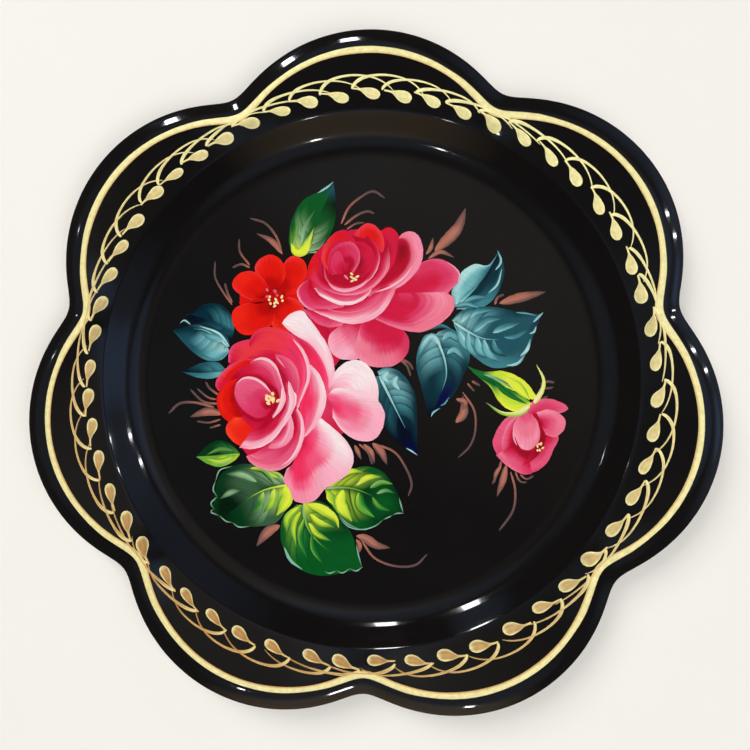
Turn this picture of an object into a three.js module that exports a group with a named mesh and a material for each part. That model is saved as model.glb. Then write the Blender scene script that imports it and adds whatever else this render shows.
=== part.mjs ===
// A scalloped serving tray pressed from one steel sheet: a flat floor, a coved wall, a flange of
// seven round lobes, and an edge rolled under round a steel wire.
// Millimetres, +Z up. The origin is the centre of the floor's underside, and one lobe points along +Y.
import * as THREE from "three";

// Driving dimensions
const LOBES = 7;
const SHEET = 0.9; // steel with its lacquer
const FLOOR_RADIUS = 99.2; // where the flat floor ends
const COVE_RADIUS = 14; // concave bend from floor to wall
const WALL_SLOPE = THREE.MathUtils.degToRad(52);
const WALL_LENGTH = 8.6; // straight part of the wall
const SHOULDER_RADIUS = 3; // convex bend from wall to flange
const CREST_AT_NOTCH = 18.8; // height of the rim's highest line at a notch
const CREST_AT_LOBE = 20.8; // and at the tip of a lobe
const CREST_INNER_RADIUS = 5; // convex bend from the flange up to the crest
const CREST_RADIUS = 15; // and from the crest to the outer slope
const OUTER_SLOPE = THREE.MathUtils.degToRad(39);
const BEAD_RADIUS = 2.7; // outside of the edge rolled round the wire
const BEAD_END = THREE.MathUtils.degToRad(262); // how far the sheet turns in all
const WIRE_RADIUS = 1.5;

// The edge in plan: circular lobes of radius LOBE_RADIUS, centred LOBE_CENTRE from the axis. The
// notches between them are rounded: sharper with a larger value, and softer towards the middle.
const LOBE_CENTRE = 80.7;
const LOBE_RADIUS = 69.8;
const NOTCH_SHARPNESS_AT_EDGE = 0.318;
const NOTCH_SHARPNESS_AT_CREST = 0.2;

// Fineness
const STEPS_PER_LOBE = 14;
const COVE_STEPS = 3;
const SHOULDER_STEPS = 2;
const CREST_STEPS = 2;
const BEAD_STEPS = 6;
const WIRE_SIDES = 8;
const HUB_RADIUS = 60; // the coarse polygon in the middle of the floor

// The rim's crest lies this far inside the edge.
const CREST_INSET = (CREST_RADIUS - BEAD_RADIUS) * Math.sin(OUTER_SLOPE) + BEAD_RADIUS;

const LOBE_ANGLE = (2 * Math.PI) / LOBES;
const FIRST_NOTCH = Math.PI / 2 + LOBE_ANGLE / 2;

// Steps round the tray, close together at a notch and wider apart at the tip of a lobe.
function anglesRound() {
  const angles = [];
  const half = STEPS_PER_LOBE / 2;
  for (let lobe = 0; lobe < LOBES; lobe++)
    for (let step = 0; step < STEPS_PER_LOBE; step++) {
      const side = step <= half ? 1 : -1;
      const part = (side > 0 ? step : STEPS_PER_LOBE - step) / half;
      const fromNotch = (LOBE_ANGLE / 2) * (0.5 * part + 0.5 * part * part);
      const notch = FIRST_NOTCH + (side > 0 ? lobe : lobe + 1) * LOBE_ANGLE;
      angles.push(notch + side * fromNotch);
    }
  return angles;
}

// How far the curve that runs inset inside the edge is from the axis, at an angle.
function rimRadius(angle, inset) {
  const turned = (angle - FIRST_NOTCH) / LOBE_ANGLE;
  const fromNotch = LOBE_ANGLE * (turned - Math.floor(turned));
  const toCircle = (fromTip) => {
    const across = LOBE_CENTRE * Math.sin(fromTip);
    const along = Math.sqrt(Math.max(0, (LOBE_RADIUS - inset) ** 2 - across ** 2));
    return LOBE_CENTRE * Math.cos(fromTip) + along;
  };
  const fromTip = Math.abs(fromNotch - LOBE_ANGLE / 2);
  const near = toCircle(fromTip);
  const far = toCircle(LOBE_ANGLE - fromTip);
  const inward = THREE.MathUtils.clamp(inset / CREST_INSET, 0, 1);
  const sharp = THREE.MathUtils.lerp(NOTCH_SHARPNESS_AT_EDGE, NOTCH_SHARPNESS_AT_CREST, inward);
  return near + Math.log1p(Math.exp(sharp * (far - near))) / sharp;
}

// A point of the sheet's upper face and its normal, in a half plane through the axis.
// slope is the face's rise towards the outside, as an angle.
const facePoint = (centre, radius, slope) => ({
  r: centre.r - radius * Math.sin(slope),
  z: centre.z + radius * Math.cos(slope),
  slope,
});

// The middles of the bends, at an angle round the tray.
function bendCentres(angle) {
  const cove = { r: FLOOR_RADIUS, z: SHEET + COVE_RADIUS };
  const wallFoot = facePoint(cove, -COVE_RADIUS, WALL_SLOPE);
  const wallTop = {
    r: wallFoot.r + WALL_LENGTH * Math.cos(WALL_SLOPE),
    z: wallFoot.z + WALL_LENGTH * Math.sin(WALL_SLOPE),
  };
  const shoulder = facePoint(wallTop, -SHOULDER_RADIUS, WALL_SLOPE);
  const atTip = rimRadius(Math.PI / 2, CREST_INSET);
  const atNotch = rimRadius(FIRST_NOTCH, CREST_INSET);
  const crestRadius = rimRadius(angle, CREST_INSET);
  const outward = (crestRadius - atNotch) / (atTip - atNotch);
  const height = THREE.MathUtils.lerp(CREST_AT_NOTCH, CREST_AT_LOBE, outward);
  const innerCrest = { r: crestRadius, z: height - CREST_INNER_RADIUS };
  const crest = { r: crestRadius, z: height - CREST_RADIUS };
  const bead = facePoint(crest, CREST_RADIUS - BEAD_RADIUS, -OUTER_SLOPE);
  return { cove, shoulder, innerCrest, crest, bead };
}

// The upper face from the floor's edge to the end of the rolled bead.
function upperFace(angle) {
  const { cove, shoulder, innerCrest, crest, bead } = bendCentres(angle);
  const rise = innerCrest.z - shoulder.z;
  const run = innerCrest.r - shoulder.r;
  const bends = CREST_INNER_RADIUS - SHOULDER_RADIUS;
  const flangeSlope = Math.atan2(rise, run) + Math.asin(bends / Math.hypot(rise, run));
  const points = [];
  const bend = (centre, radius, from, to, steps) => {
    for (let i = 0; i <= steps; i++)
      points.push(facePoint(centre, radius, THREE.MathUtils.lerp(from, to, i / steps)));
  };
  bend(cove, -COVE_RADIUS, 0, WALL_SLOPE, COVE_STEPS);
  bend(shoulder, SHOULDER_RADIUS, WALL_SLOPE, flangeSlope, SHOULDER_STEPS);
  bend(innerCrest, CREST_INNER_RADIUS, flangeSlope, 0, CREST_STEPS);
  points.pop(); // the next bend starts where this one ends
  bend(crest, CREST_RADIUS, 0, -OUTER_SLOPE, CREST_STEPS);
  points.pop();
  bend(bead, BEAD_RADIUS, -OUTER_SLOPE, -BEAD_END, BEAD_STEPS);
  return followRim(points, angle, crest.r);
}

// The rolled edge is worked out as a round tray's. This moves its points in or out to the lobed rim.
function followRim(points, angle, crestRadius) {
  const edge = crestRadius + CREST_INSET;
  return points.map((p) => {
    const r = p.r > crestRadius ? rimRadius(angle, edge - p.r) : p.r;
    return { ...p, r };
  });
}

const lowerPoint = (p) => ({
  r: p.r + SHEET * Math.sin(p.slope),
  z: p.z - SHEET * Math.cos(p.slope),
});

const inSpace = (p, angle) => [p.r * Math.cos(angle), p.r * Math.sin(angle), p.z];

// A closed mesh from rings of points that each go once round the axis. A quad joins each pair of
// neighbouring rings; closeUp also joins the last ring to the first.
function ringsGeometry(rings, closeUp, caps = []) {
  const count = rings[0].length;
  const positions = rings.flat(2);
  const index = [];
  const joins = closeUp ? rings.length : rings.length - 1;
  for (let ring = 0; ring < joins; ring++)
    for (let j = 0; j < count; j++) {
      const next = (j + 1) % count;
      const inner = ring * count;
      const outer = ((ring + 1) % rings.length) * count;
      index.push(inner + j, outer + j, outer + next);
      index.push(inner + j, outer + next, inner + next);
    }
  caps.forEach(({ ring, height, up }) => addCap(positions, index, ring * count, count, height, up));
  const geometry = new THREE.BufferGeometry();
  geometry.setAttribute("position", new THREE.Float32BufferAttribute(positions, 3));
  geometry.setIndex(index);
  geometry.computeVertexNormals();
  return geometry;
}

// The flat floor inside a ring: a hub with one corner per lobe, and a fan of triangles round it.
function addCap(positions, index, first, count, height, up) {
  const hub = positions.length / 3;
  const face = (a, b, c) => (up ? index.push(a, b, c) : index.push(a, c, b));
  for (let lobe = 0; lobe < LOBES; lobe++)
    positions.push(...inSpace({ r: HUB_RADIUS, z: height }, FIRST_NOTCH + lobe * LOBE_ANGLE));
  for (let lobe = 0; lobe < LOBES; lobe++) {
    const here = hub + lobe;
    const after = hub + ((lobe + 1) % LOBES);
    for (let step = 0; step < STEPS_PER_LOBE; step++) {
      const j = lobe * STEPS_PER_LOBE + step;
      const corner = step < STEPS_PER_LOBE / 2 ? here : after;
      face(corner, first + j, first + ((j + 1) % count));
      if (step === STEPS_PER_LOBE / 2) face(here, first + j, after);
    }
    if (lobe > 0 && lobe < LOBES - 1) face(hub, here, after);
  }
}

const steel = (name, colour, roughness, metalness) =>
  new THREE.MeshStandardMaterial({ name, color: colour, roughness, metalness });
const lacquer = steel("black lacquer", 0x101114, 0.12, 0.0);
const bareSteel = steel("steel wire", 0x8b8d90, 0.35, 1.0);

function trayBody(angles) {
  const upper = angles.map(upperFace);
  const rows = upper[0].map((_, k) => angles.map((angle, j) => inSpace(upper[j][k], angle)));
  const under = upper[0].map((_, k) => angles.map((a, j) => inSpace(lowerPoint(upper[j][k]), a)));
  const rings = [...rows, ...under.reverse()];
  const caps = [
    { ring: 0, height: SHEET, up: true },
    { ring: rings.length - 1, height: 0, up: false },
  ];
  const mesh = new THREE.Mesh(ringsGeometry(rings, false, caps), lacquer);
  mesh.name = "tray_body";
  return mesh;
}

function edgeWire(angles) {
  const rings = [];
  for (let side = 0; side < WIRE_SIDES; side++) {
    const turn = (2 * Math.PI * side) / WIRE_SIDES;
    rings.push(
      angles.map((angle) => {
        const r = rimRadius(angle, BEAD_RADIUS + WIRE_RADIUS * Math.cos(turn));
        return inSpace({ r, z: bendCentres(angle).bead.z + WIRE_RADIUS * Math.sin(turn) }, angle);
      }),
    );
  }
  const mesh = new THREE.Mesh(ringsGeometry(rings, true), bareSteel);
  mesh.name = "edge_wire";
  return mesh;
}

const angles = anglesRound();
const tray = new THREE.Group();
tray.name = "scalloped_tray";
tray.add(trayBody(angles), edgeWire(angles));

export default tray;
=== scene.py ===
"""A scalloped, black lacquered tray with a painted bouquet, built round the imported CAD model.

The steel is one fine skin on the CAD tray's own profile. Gold is laid on the rim as raised strokes,
and the bouquet is painted stroke by stroke, as flat films of paint stacked over the floor.
Lengths in this script are millimetres in the tray's frame; meshes are made in metres.
"""

import math

import bpy
import numpy as np
from mathutils import Matrix, Vector


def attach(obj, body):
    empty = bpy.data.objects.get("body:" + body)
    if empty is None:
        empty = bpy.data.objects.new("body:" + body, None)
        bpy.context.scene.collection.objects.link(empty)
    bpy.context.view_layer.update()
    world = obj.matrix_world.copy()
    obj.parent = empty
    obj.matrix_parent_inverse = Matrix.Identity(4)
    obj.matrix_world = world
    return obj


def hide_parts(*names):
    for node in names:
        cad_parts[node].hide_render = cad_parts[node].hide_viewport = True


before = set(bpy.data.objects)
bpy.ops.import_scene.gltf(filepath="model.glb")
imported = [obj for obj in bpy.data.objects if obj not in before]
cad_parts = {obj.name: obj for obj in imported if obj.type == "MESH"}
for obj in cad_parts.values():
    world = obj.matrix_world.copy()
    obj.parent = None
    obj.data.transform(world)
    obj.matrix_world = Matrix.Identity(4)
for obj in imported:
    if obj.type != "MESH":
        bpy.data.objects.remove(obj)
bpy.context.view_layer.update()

MM = 0.001

# ---------------------------------------------------------------- the tray's driving dimensions
LOBES = 7
SHEET = 0.9
FLOOR_RADIUS = 99.2
COVE_RADIUS = 14.0
WALL_SLOPE = math.radians(52)
WALL_LENGTH = 8.6
SHOULDER_RADIUS = 3.0
CREST_AT_NOTCH = 18.8
CREST_AT_LOBE = 20.8
CREST_INNER_RADIUS = 5.0
CREST_RADIUS = 15.0
OUTER_SLOPE = math.radians(39)
BEAD_RADIUS = 2.7
BEAD_END = math.radians(262)
LOBE_CENTRE = 80.7
LOBE_RADIUS = 69.8
NOTCH_SHARPNESS_AT_EDGE = 0.318
NOTCH_SHARPNESS_AT_CREST = 0.2
CREST_INSET = (CREST_RADIUS - BEAD_RADIUS) * math.sin(OUTER_SLOPE) + BEAD_RADIUS
FACET_ALLOWANCE = 0.3  # how far the CAD's facets cut into a lobe's arc; the skin stays inside them
PAINT_ALLOWANCE = 0.09  # the skin's crest is this much lower, as the gold lies on it
LOBE_ANGLE = 2 * math.pi / LOBES
FIRST_NOTCH = math.pi / 2 + LOBE_ANGLE / 2

# Fineness of the skin
STEPS_PER_LOBE = 64
RIM_STEPS = STEPS_PER_LOBE * LOBES
COVE_STEPS = 12
SHOULDER_STEPS = 6
INNER_CREST_STEPS = 5
CREST_STEPS = 8
BEAD_STEPS = 18
RUN_STEP = 2.5  # about how long a quad is on a straight run of the profile
FLOOR_RINGS = [30.0, 60.0, 85.0]  # radii of the rings between the floor's middle and its edge


# ---------------------------------------------------------------- shape of the sheet
def rim_radius(angle, inset, notch_sharpness=None):
    """How far the curve that runs inset inside the edge is from the axis, at each angle."""
    turned = (angle - FIRST_NOTCH) / LOBE_ANGLE
    from_tip = np.abs(turned - np.floor(turned) - 0.5) * LOBE_ANGLE

    def to_circle(a):
        across = LOBE_CENTRE * np.sin(a)
        along = np.sqrt(np.maximum(0, (LOBE_RADIUS - inset) ** 2 - across**2))
        return LOBE_CENTRE * np.cos(a) + along

    near = to_circle(from_tip)
    far = to_circle(LOBE_ANGLE - from_tip)
    inward = np.clip(inset / CREST_INSET, 0, 1)
    sharp = NOTCH_SHARPNESS_AT_EDGE + inward * (NOTCH_SHARPNESS_AT_CREST - NOTCH_SHARPNESS_AT_EDGE)
    if notch_sharpness is not None:
        sharp = notch_sharpness
    return near + np.log1p(np.exp(sharp * (far - near))) / sharp


def bend(centre, radius, slopes):
    """Points of a bend's face, as (r, z, slope), for a list of slopes."""
    r, z = centre
    return [(r - radius * np.sin(s), z + radius * np.cos(s), s) for s in slopes]


def upper_face(angle, fineness=1.0):
    """The upper face at each angle, from the floor's edge to the bead's end: arrays (r, z, slope)."""
    flat = np.zeros_like(angle)

    def steps(count):
        return np.linspace(0, 1, max(2, int(round(count * fineness))) + 1)

    cove = (flat + FLOOR_RADIUS, flat + SHEET + COVE_RADIUS)
    foot = bend(cove, -COVE_RADIUS, [flat + WALL_SLOPE])[0]
    top = (foot[0] + WALL_LENGTH * math.cos(WALL_SLOPE), foot[1] + WALL_LENGTH * math.sin(WALL_SLOPE))
    shoulder = bend(top, -SHOULDER_RADIUS, [flat + WALL_SLOPE])[0]
    at_tip, at_notch = rim_radius(np.array([math.pi / 2, FIRST_NOTCH]), CREST_INSET)
    crest_radius = rim_radius(angle, CREST_INSET)
    outward = (crest_radius - at_notch) / (at_tip - at_notch)
    height = CREST_AT_NOTCH + outward * (CREST_AT_LOBE - CREST_AT_NOTCH) - PAINT_ALLOWANCE
    inner = (crest_radius, height - CREST_INNER_RADIUS)
    crest = (crest_radius, height - CREST_RADIUS)
    bead = bend(crest, CREST_RADIUS - BEAD_RADIUS, [flat - OUTER_SLOPE])[0]
    rise, run = inner[1] - shoulder[1], inner[0] - shoulder[0]
    turn = (CREST_INNER_RADIUS - SHOULDER_RADIUS) / np.hypot(rise, run)
    flange = np.arctan2(rise, run) + np.arcsin(turn)
    points = bend(cove, -COVE_RADIUS, [t * WALL_SLOPE + flat for t in steps(COVE_STEPS)])
    down = [WALL_SLOPE + t * (flange - WALL_SLOPE) for t in steps(SHOULDER_STEPS)]
    points += bend(shoulder[:2], SHOULDER_RADIUS, down)
    points += bend(inner, CREST_INNER_RADIUS, [flange * (1 - t) for t in steps(INNER_CREST_STEPS)])
    points += bend(crest, CREST_RADIUS, [flat - t * OUTER_SLOPE for t in steps(CREST_STEPS)][1:])
    bead_turn = BEAD_END - OUTER_SLOPE
    round_wire = [flat - OUTER_SLOPE - t * bead_turn for t in steps(BEAD_STEPS)][1:]
    points += bend(bead[:2], BEAD_RADIUS, round_wire)
    r, z, slope = (np.array([p[i] for p in points]) for i in range(3))
    outside = r > crest_radius
    lobed = rim_radius(angle, crest_radius + CREST_INSET - r)
    lobed = lobed - FACET_ALLOWANCE * np.clip((r - crest_radius) / CREST_INSET, 0, 1)
    return np.where(outside, lobed, r), z, slope


def add_flange_rows(r, z, slope):
    """Splits the long straight runs of the profile, so that the skin's quads stay even."""
    rows = [(r[0], z[0], slope[0])]
    for k in range(1, len(r)):
        gap = float(np.max(np.hypot(r[k] - r[k - 1], z[k] - z[k - 1])))
        parts = max(1, int(gap / RUN_STEP))
        for i in range(1, parts + 1):
            t = i / parts
            rows.append(tuple(a[k - 1] + t * (a[k] - a[k - 1]) for a in (r, z, slope)))
    return tuple(np.array([row[i] for row in rows]) for i in range(3))


def surface_height(x, y):
    """Height of the sheet's upper face, and its outward slope, over points (x, y) inside the edge."""
    angle, radius = np.arctan2(y, x), np.hypot(x, y)
    r, z, slope = upper_face(angle, fineness=0.6)
    height = np.full(radius.shape, SHEET)
    tilt = np.zeros(radius.shape)
    for k in range(1, len(r)):
        here = (radius >= r[k - 1]) & (radius < r[k]) & (slope[k] > -math.pi / 2)
        t = (radius - r[k - 1]) / np.maximum(r[k] - r[k - 1], 1e-6)
        height = np.where(here, z[k - 1] + t * (z[k] - z[k - 1]), height)
        tilt = np.where(here, slope[k - 1] + t * (slope[k] - slope[k - 1]), tilt)
    return height, tilt


# ---------------------------------------------------------------- meshes
def new_object(name, verts, faces, material, smooth=True):
    """A mesh object from points in mm."""
    mesh = bpy.data.meshes.new(name)
    mesh.from_pydata((np.asarray(verts) * MM).tolist(), [], faces)
    mesh.materials.append(material)
    mesh.polygons.foreach_set("use_smooth", [smooth] * len(mesh.polygons))
    mesh.update()
    thing = bpy.data.objects.new(name, mesh)
    bpy.context.scene.collection.objects.link(thing)
    return thing


def set_attribute(thing, name, kind, key, values):
    """Gives each point of a mesh a value that its material can read."""
    attribute = thing.data.attributes.new(name, kind, "POINT")
    attribute.data.foreach_set(key, np.asarray(values, dtype=np.float32).ravel())


def set_paint(thing, colours, flow):
    """The paint's colour, and where each point lies along and across the brush's path."""
    opaque = np.pad(np.concatenate(colours), ((0, 0), (0, 1)), constant_values=1)
    set_attribute(thing, "paint", "FLOAT_COLOR", "color", opaque)
    set_attribute(thing, "flow", "FLOAT_VECTOR", "vector", np.concatenate(flow))


def strip_quads(rows, columns, start=0, around=False):
    """Quads that join a grid of rows by columns of points."""
    quads = []
    for i in range(rows - 1):
        for j in range(columns if around else columns - 1):
            k = (j + 1) % columns
            a = start + i * columns
            quads.append((a + j, a + columns + j, a + columns + k, a + k))
    return quads


# ---------------------------------------------------------------- materials
class Nodes:
    """A short way to build a material's node tree round its Principled shader."""

    def __init__(self, name):
        self.material = bpy.data.materials.new(name)
        self.material.use_nodes = True
        self.tree = self.material.node_tree
        self.shader = self.tree.nodes["Principled BSDF"]

    def node(self, kind, inputs=None, **settings):
        made = self.tree.nodes.new(kind)
        for key, value in settings.items():
            setattr(made, key, value)
        for key, value in (inputs or {}).items():
            self.put(made.inputs[key], value)
        return made

    def put(self, socket, value):
        if isinstance(value, bpy.types.NodeSocket):
            self.tree.links.new(value, socket)
        else:
            socket.default_value = value

    def place(self, scale=(1, 1, 1)):
        """Object coordinates in millimetres, scaled."""
        where = self.node("ShaderNodeTexCoord").outputs["Object"]
        size = tuple(s / MM for s in scale)
        return self.node("ShaderNodeMapping", {"Vector": where, "Scale": size}).outputs["Vector"]

    def noise(self, vector, scale, detail=3.0, roughness=0.5):
        made = self.node("ShaderNodeTexNoise", {"Vector": vector, "Scale": scale, "Detail": detail})
        made.inputs["Roughness"].default_value = roughness
        return made.outputs["Fac"]

    def ramp(self, value, low, high, to_low=0.0, to_high=1.0):
        made = self.node("ShaderNodeMapRange", {"Value": value, "From Min": low, "From Max": high})
        made.inputs["To Min"].default_value = to_low
        made.inputs["To Max"].default_value = to_high
        return made.outputs["Result"]

    def mix(self, share, first, second, blend="MIX"):
        made = self.node("ShaderNodeMix", data_type="RGBA", blend_type=blend)
        self.put(made.inputs[0], share)
        self.put(made.inputs[6], first)
        self.put(made.inputs[7], second)
        return made.outputs[2]

    def math(self, operation, first, second=0.0):
        made = self.node("ShaderNodeMath", operation=operation)
        self.put(made.inputs[0], first)
        self.put(made.inputs[1], second)
        return made.outputs[0]

    def bump(self, height, distance, strength=1.0, below=None):
        inputs = {"Height": height, "Distance": distance * MM, "Strength": strength}
        made = self.node("ShaderNodeBump", inputs)
        if below is not None:
            self.put(made.inputs["Normal"], below)
        return made.outputs["Normal"]

    def finish(self, **sockets):
        for key, value in sockets.items():
            self.put(self.shader.inputs[key.replace("_", " ")], value)
        return self.material


def lacquer_material():
    """Black enamel under clear lacquer: slow waves, fine orange peel, haze and specks of dust."""
    m = Nodes("black_lacquer")
    at = m.place()
    waves = m.noise(at, 0.045, 2.0)
    peel = m.noise(at, 0.55, 2.0)
    normal = m.bump(waves, 0.30, 0.5)
    normal = m.bump(peel, 0.010, 0.5, normal)
    haze = m.noise(at, 0.03, 5.0, 0.65)
    specks = m.node("ShaderNodeTexVoronoi", {"Vector": at, "Scale": 0.22}).outputs["Distance"]
    dust = m.ramp(specks, 0.0, 0.06, 1.0, 0.0)
    colour = m.mix(haze, (0.0034, 0.0034, 0.0038, 1), (0.0062, 0.0056, 0.0056, 1))
    colour = m.mix(m.math("MULTIPLY", dust, 0.06), colour, (0.5, 0.5, 0.48, 1))
    rough = m.ramp(haze, 0.3, 0.75, 0.05, 0.11)
    return m.finish(Base_Color=colour, Roughness=rough, Normal=normal, IOR=1.5,
                    Coat_Weight=0.6, Coat_Roughness=0.03)


def wire_material():
    """Bare drawn steel."""
    m = Nodes("steel_wire")
    at = m.place((0.3, 0.3, 4.0))
    drawn = m.noise(at, 2.0, 4.0)
    colour = m.mix(drawn, (0.42, 0.42, 0.43, 1), (0.62, 0.62, 0.62, 1))
    rough = m.ramp(drawn, 0.2, 0.8, 0.25, 0.45)
    return m.finish(Base_Color=colour, Roughness=rough, Metallic=1.0, Normal=m.bump(drawn, 0.02, 0.4))


def gold_material():
    """Gold powder paint, brushed on: streaks of thin and thick powder."""
    m = Nodes("gold_paint")
    at = m.place()
    grain = m.noise(at, 6.0, 3.0)
    patch = m.noise(at, 0.5, 3.0)
    colour = m.node("ShaderNodeAttribute", attribute_name="paint").outputs["Color"]
    flow = m.node("ShaderNodeAttribute", attribute_name="flow").outputs["Vector"]
    along = m.node("ShaderNodeMapping", {"Vector": flow, "Scale": (0.25, 3.0, 1.0)}).outputs["Vector"]
    streak = m.noise(along, 1.6, 3.0)
    colour = m.mix(1.0, colour, m.ramp(patch, 0.3, 0.7, 0.90, 1.10), "MULTIPLY")
    colour = m.mix(1.0, colour, m.ramp(streak, 0.3, 0.7, 0.92, 1.12), "MULTIPLY")
    rough = m.ramp(grain, 0.3, 0.7, 0.34, 0.50)
    normal = m.bump(streak, 0.05, 0.5, m.bump(grain, 0.02, 0.3))
    return m.finish(Base_Color=colour, Roughness=rough, Metallic=0.16, Normal=normal,
                    Coat_Weight=0.5, Coat_Roughness=0.06)


# ---------------------------------------------------------------- the tray's skin
def tray_skin(material):
    """The whole steel sheet as one closed skin: floor, wall, flange and the edge rolled round its wire."""
    angle = np.linspace(0, 2 * math.pi, RIM_STEPS, endpoint=False) + FIRST_NOTCH
    r, z, slope = add_flange_rows(*upper_face(angle))
    rings = [(np.full(RIM_STEPS, a), np.full(RIM_STEPS, SHEET)) for a in FLOOR_RINGS]
    rings += list(zip(r, z))
    rings += [(a + SHEET * np.sin(s), b - SHEET * np.cos(s)) for a, b, s in list(zip(r, z, slope))[::-1]]
    rings += [(np.full(RIM_STEPS, a), np.zeros(RIM_STEPS)) for a in FLOOR_RINGS[::-1]]
    verts = [np.stack([a * np.cos(angle), a * np.sin(angle), b], 1) for a, b in rings]
    verts = np.concatenate(verts + [np.array([[0, 0, SHEET], [0, 0, 0]])])
    faces = strip_quads(len(rings), RIM_STEPS, around=True)
    top, below = len(verts) - 2, len(verts) - 1
    last = (len(rings) - 1) * RIM_STEPS
    for j in range(RIM_STEPS):
        k = (j + 1) % RIM_STEPS
        faces += [(top, j, k), (below, last + k, last + j)]
    return new_object("lacquered_tray", verts, faces, material)


# ---------------------------------------------------------------- gold on the rim
def in_plane(radius, angle):
    """Points in plan at radii and angles."""
    return np.stack([radius * np.cos(angle), radius * np.sin(angle)], -1)


def smooth_path(points, count):
    """Points evenly spread along a Catmull-Rom curve through a few given points."""
    p = np.asarray(points, dtype=float)
    if len(p) < 3:
        t = np.linspace(0, 1, count)[:, None]
        return p[0] * (1 - t) + p[-1] * t
    p = np.concatenate([[2 * p[0] - p[1]], p, [2 * p[-1] - p[-2]]])
    fine = []
    for i in range(1, len(p) - 2):
        t = np.linspace(0, 1, 24, endpoint=False)[:, None]
        a, b, c, d = p[i - 1], p[i], p[i + 1], p[i + 2]
        fine.append(0.5 * (2 * b + (c - a) * t + (2 * a - 5 * b + 4 * c - d) * t**2
                           + (3 * b - a - 3 * c + d) * t**3))
    fine = np.concatenate(fine + [p[-2][None]])
    length = np.concatenate([[0], np.cumsum(np.hypot(*np.diff(fine, axis=0).T))])
    even = np.linspace(0, length[-1], count)
    return np.stack([np.interp(even, length, fine[:, i]) for i in range(2)], 1)


class Strokes:
    """Raised strokes of one paint, gathered into one mesh that lies on the sheet."""

    sunk = 0.015  # how far a stroke's margins dip below its lift

    def __init__(self):
        self.verts, self.faces, self.flow, self.lift, self.colours, self.count = [], [], [], [], [], 0

    def add(self, path, widths, tones, thickness=0.10, across=5, lift=0.0, paling=0.8):
        """One stroke along a path in plan, with its full width at each point, domed across.

        Rows of tones run along the stroke, and the letters of a row from its right side to its left.
        The last argument sets how far the tones are painted towards pale gold on the tray's lit side: a
        painted sheen.
        """
        path = np.asarray(path)
        n = len(path)
        ahead = np.gradient(path, axis=0)
        ahead /= np.maximum(np.hypot(*ahead.T), 1e-9)[:, None]
        side = np.stack([-ahead[:, 1], ahead[:, 0]], 1)
        v = np.linspace(-1, 1, across)
        half = np.asarray(widths)[:, None] / 2
        xy = path[:, None, :] + side[:, None, :] * (half * v)[..., None]
        run = np.concatenate([[0], np.cumsum(np.hypot(*np.diff(path, axis=0).T))])
        flow = np.stack(np.broadcast_arrays(run[:, None], half * v, self.count * 0.37), -1)
        full = np.minimum(1, half / max(float(np.max(half)), 1e-6) * 1.6)
        dome = lift + full * thickness * (1 - v**2) - self.sunk * (np.abs(v) > 0.99)
        dome[0], dome[-1] = lift - self.sunk, lift - self.sunk
        self.faces += strip_quads(n, across, start=self.count)
        self.verts.append(xy.reshape(-1, 2))
        self.flow.append(flow.reshape(-1, 3))
        self.lift.append(dome.ravel())
        u, down = np.meshgrid((v + 1) / 2, np.linspace(0, 1, n))
        # Painted sheen: towards the tray's upper side, where the light falls, the tones blend into a pale
        # gold.
        to_the_light = (0.45 * xy[..., :1] + 0.9 * xy[..., 1:]) / 250
        lit = paling * np.clip(0.5 + to_the_light, 0, 1)
        sheen_tone = np.minimum(1.2 * linear(PALETTE["Z"]), 0.95)
        colours = blend_tones(tones, u, down) * (1 - lit) + sheen_tone * lit
        self.colours.append(colours.reshape(-1, 3))
        self.count += n * across

    def build(self, name, material):
        xy = np.concatenate(self.verts)
        lift = np.concatenate(self.lift)
        height, tilt = surface_height(xy[:, 0], xy[:, 1])
        angle = np.arctan2(xy[:, 1], xy[:, 0])
        away = -np.sin(tilt) * lift
        verts = np.stack([xy[:, 0] + away * np.cos(angle), xy[:, 1] + away * np.sin(angle),
                          height + np.cos(tilt) * lift], 1)
        made = new_object(name, verts, self.faces, material)
        set_paint(made, self.colours, self.flow)
        return made


GOLD_LINE_WIDTH = 2.9
GOLD_LINE_INSET = CREST_INSET + 0.1
GOLD_LINE_SHARPNESS = 0.24  # of its turns at the notches

VINE_BERRIES = 54
FIRST_BERRY = math.radians(2.0)
BERRY_SEAT = 120.4  # how far from the axis a berry sits at a notch
BERRY_WIDTH = 4.4
SCROLL_REACH = 14.4  # degrees from a scroll's start to its end
SCROLL_TOP = 124.4  # how far out a scroll arches at a notch
SCROLL_END = 121.9  # and where it comes down there
LOBE_SHIFT = 2.0  # berries and the ends of scrolls lie this much further out at a lobe's tip
LOBE_ARCH = 5.5  # and the tops of scrolls this much


def gold_line(material):
    """The line that a brush pulled along the rim's crest: its width wanders a little."""
    angle = np.linspace(-0.004, 2 * math.pi + 0.004, 1500)
    wander = 0.10 * np.sin(5 * angle + 1) + 0.07 * np.sin(13 * angle) + 0.05 * np.sin(31 * angle + 2)
    inward = 1 - how_far_out(angle)
    fuller = 0.3 * inward**3
    strokes = Strokes()
    # The line runs a little inside the crest at a lobe, and a little outside it at a notch.
    radius = rim_radius(angle, GOLD_LINE_INSET, GOLD_LINE_SHARPNESS) - 0.5 + 1.8 * inward
    # The line's tones are painted a little paler on the tray's lit side: painted sheen.
    strokes.add(in_plane(radius, angle), GOLD_LINE_WIDTH * (1 + 0.6 * wander + fuller), "zZZZZzx",
                0.08, 11, paling=0.3)
    return strokes.build("gold_border_line", material)


def how_far_out(angle):
    """1 at a lobe's tip and 0 at a notch."""
    at_tip, at_notch = rim_radius(np.array([math.pi / 2, FIRST_NOTCH]), CREST_INSET)
    return (rim_radius(angle, CREST_INSET) - at_notch) / (at_tip - at_notch)


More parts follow.
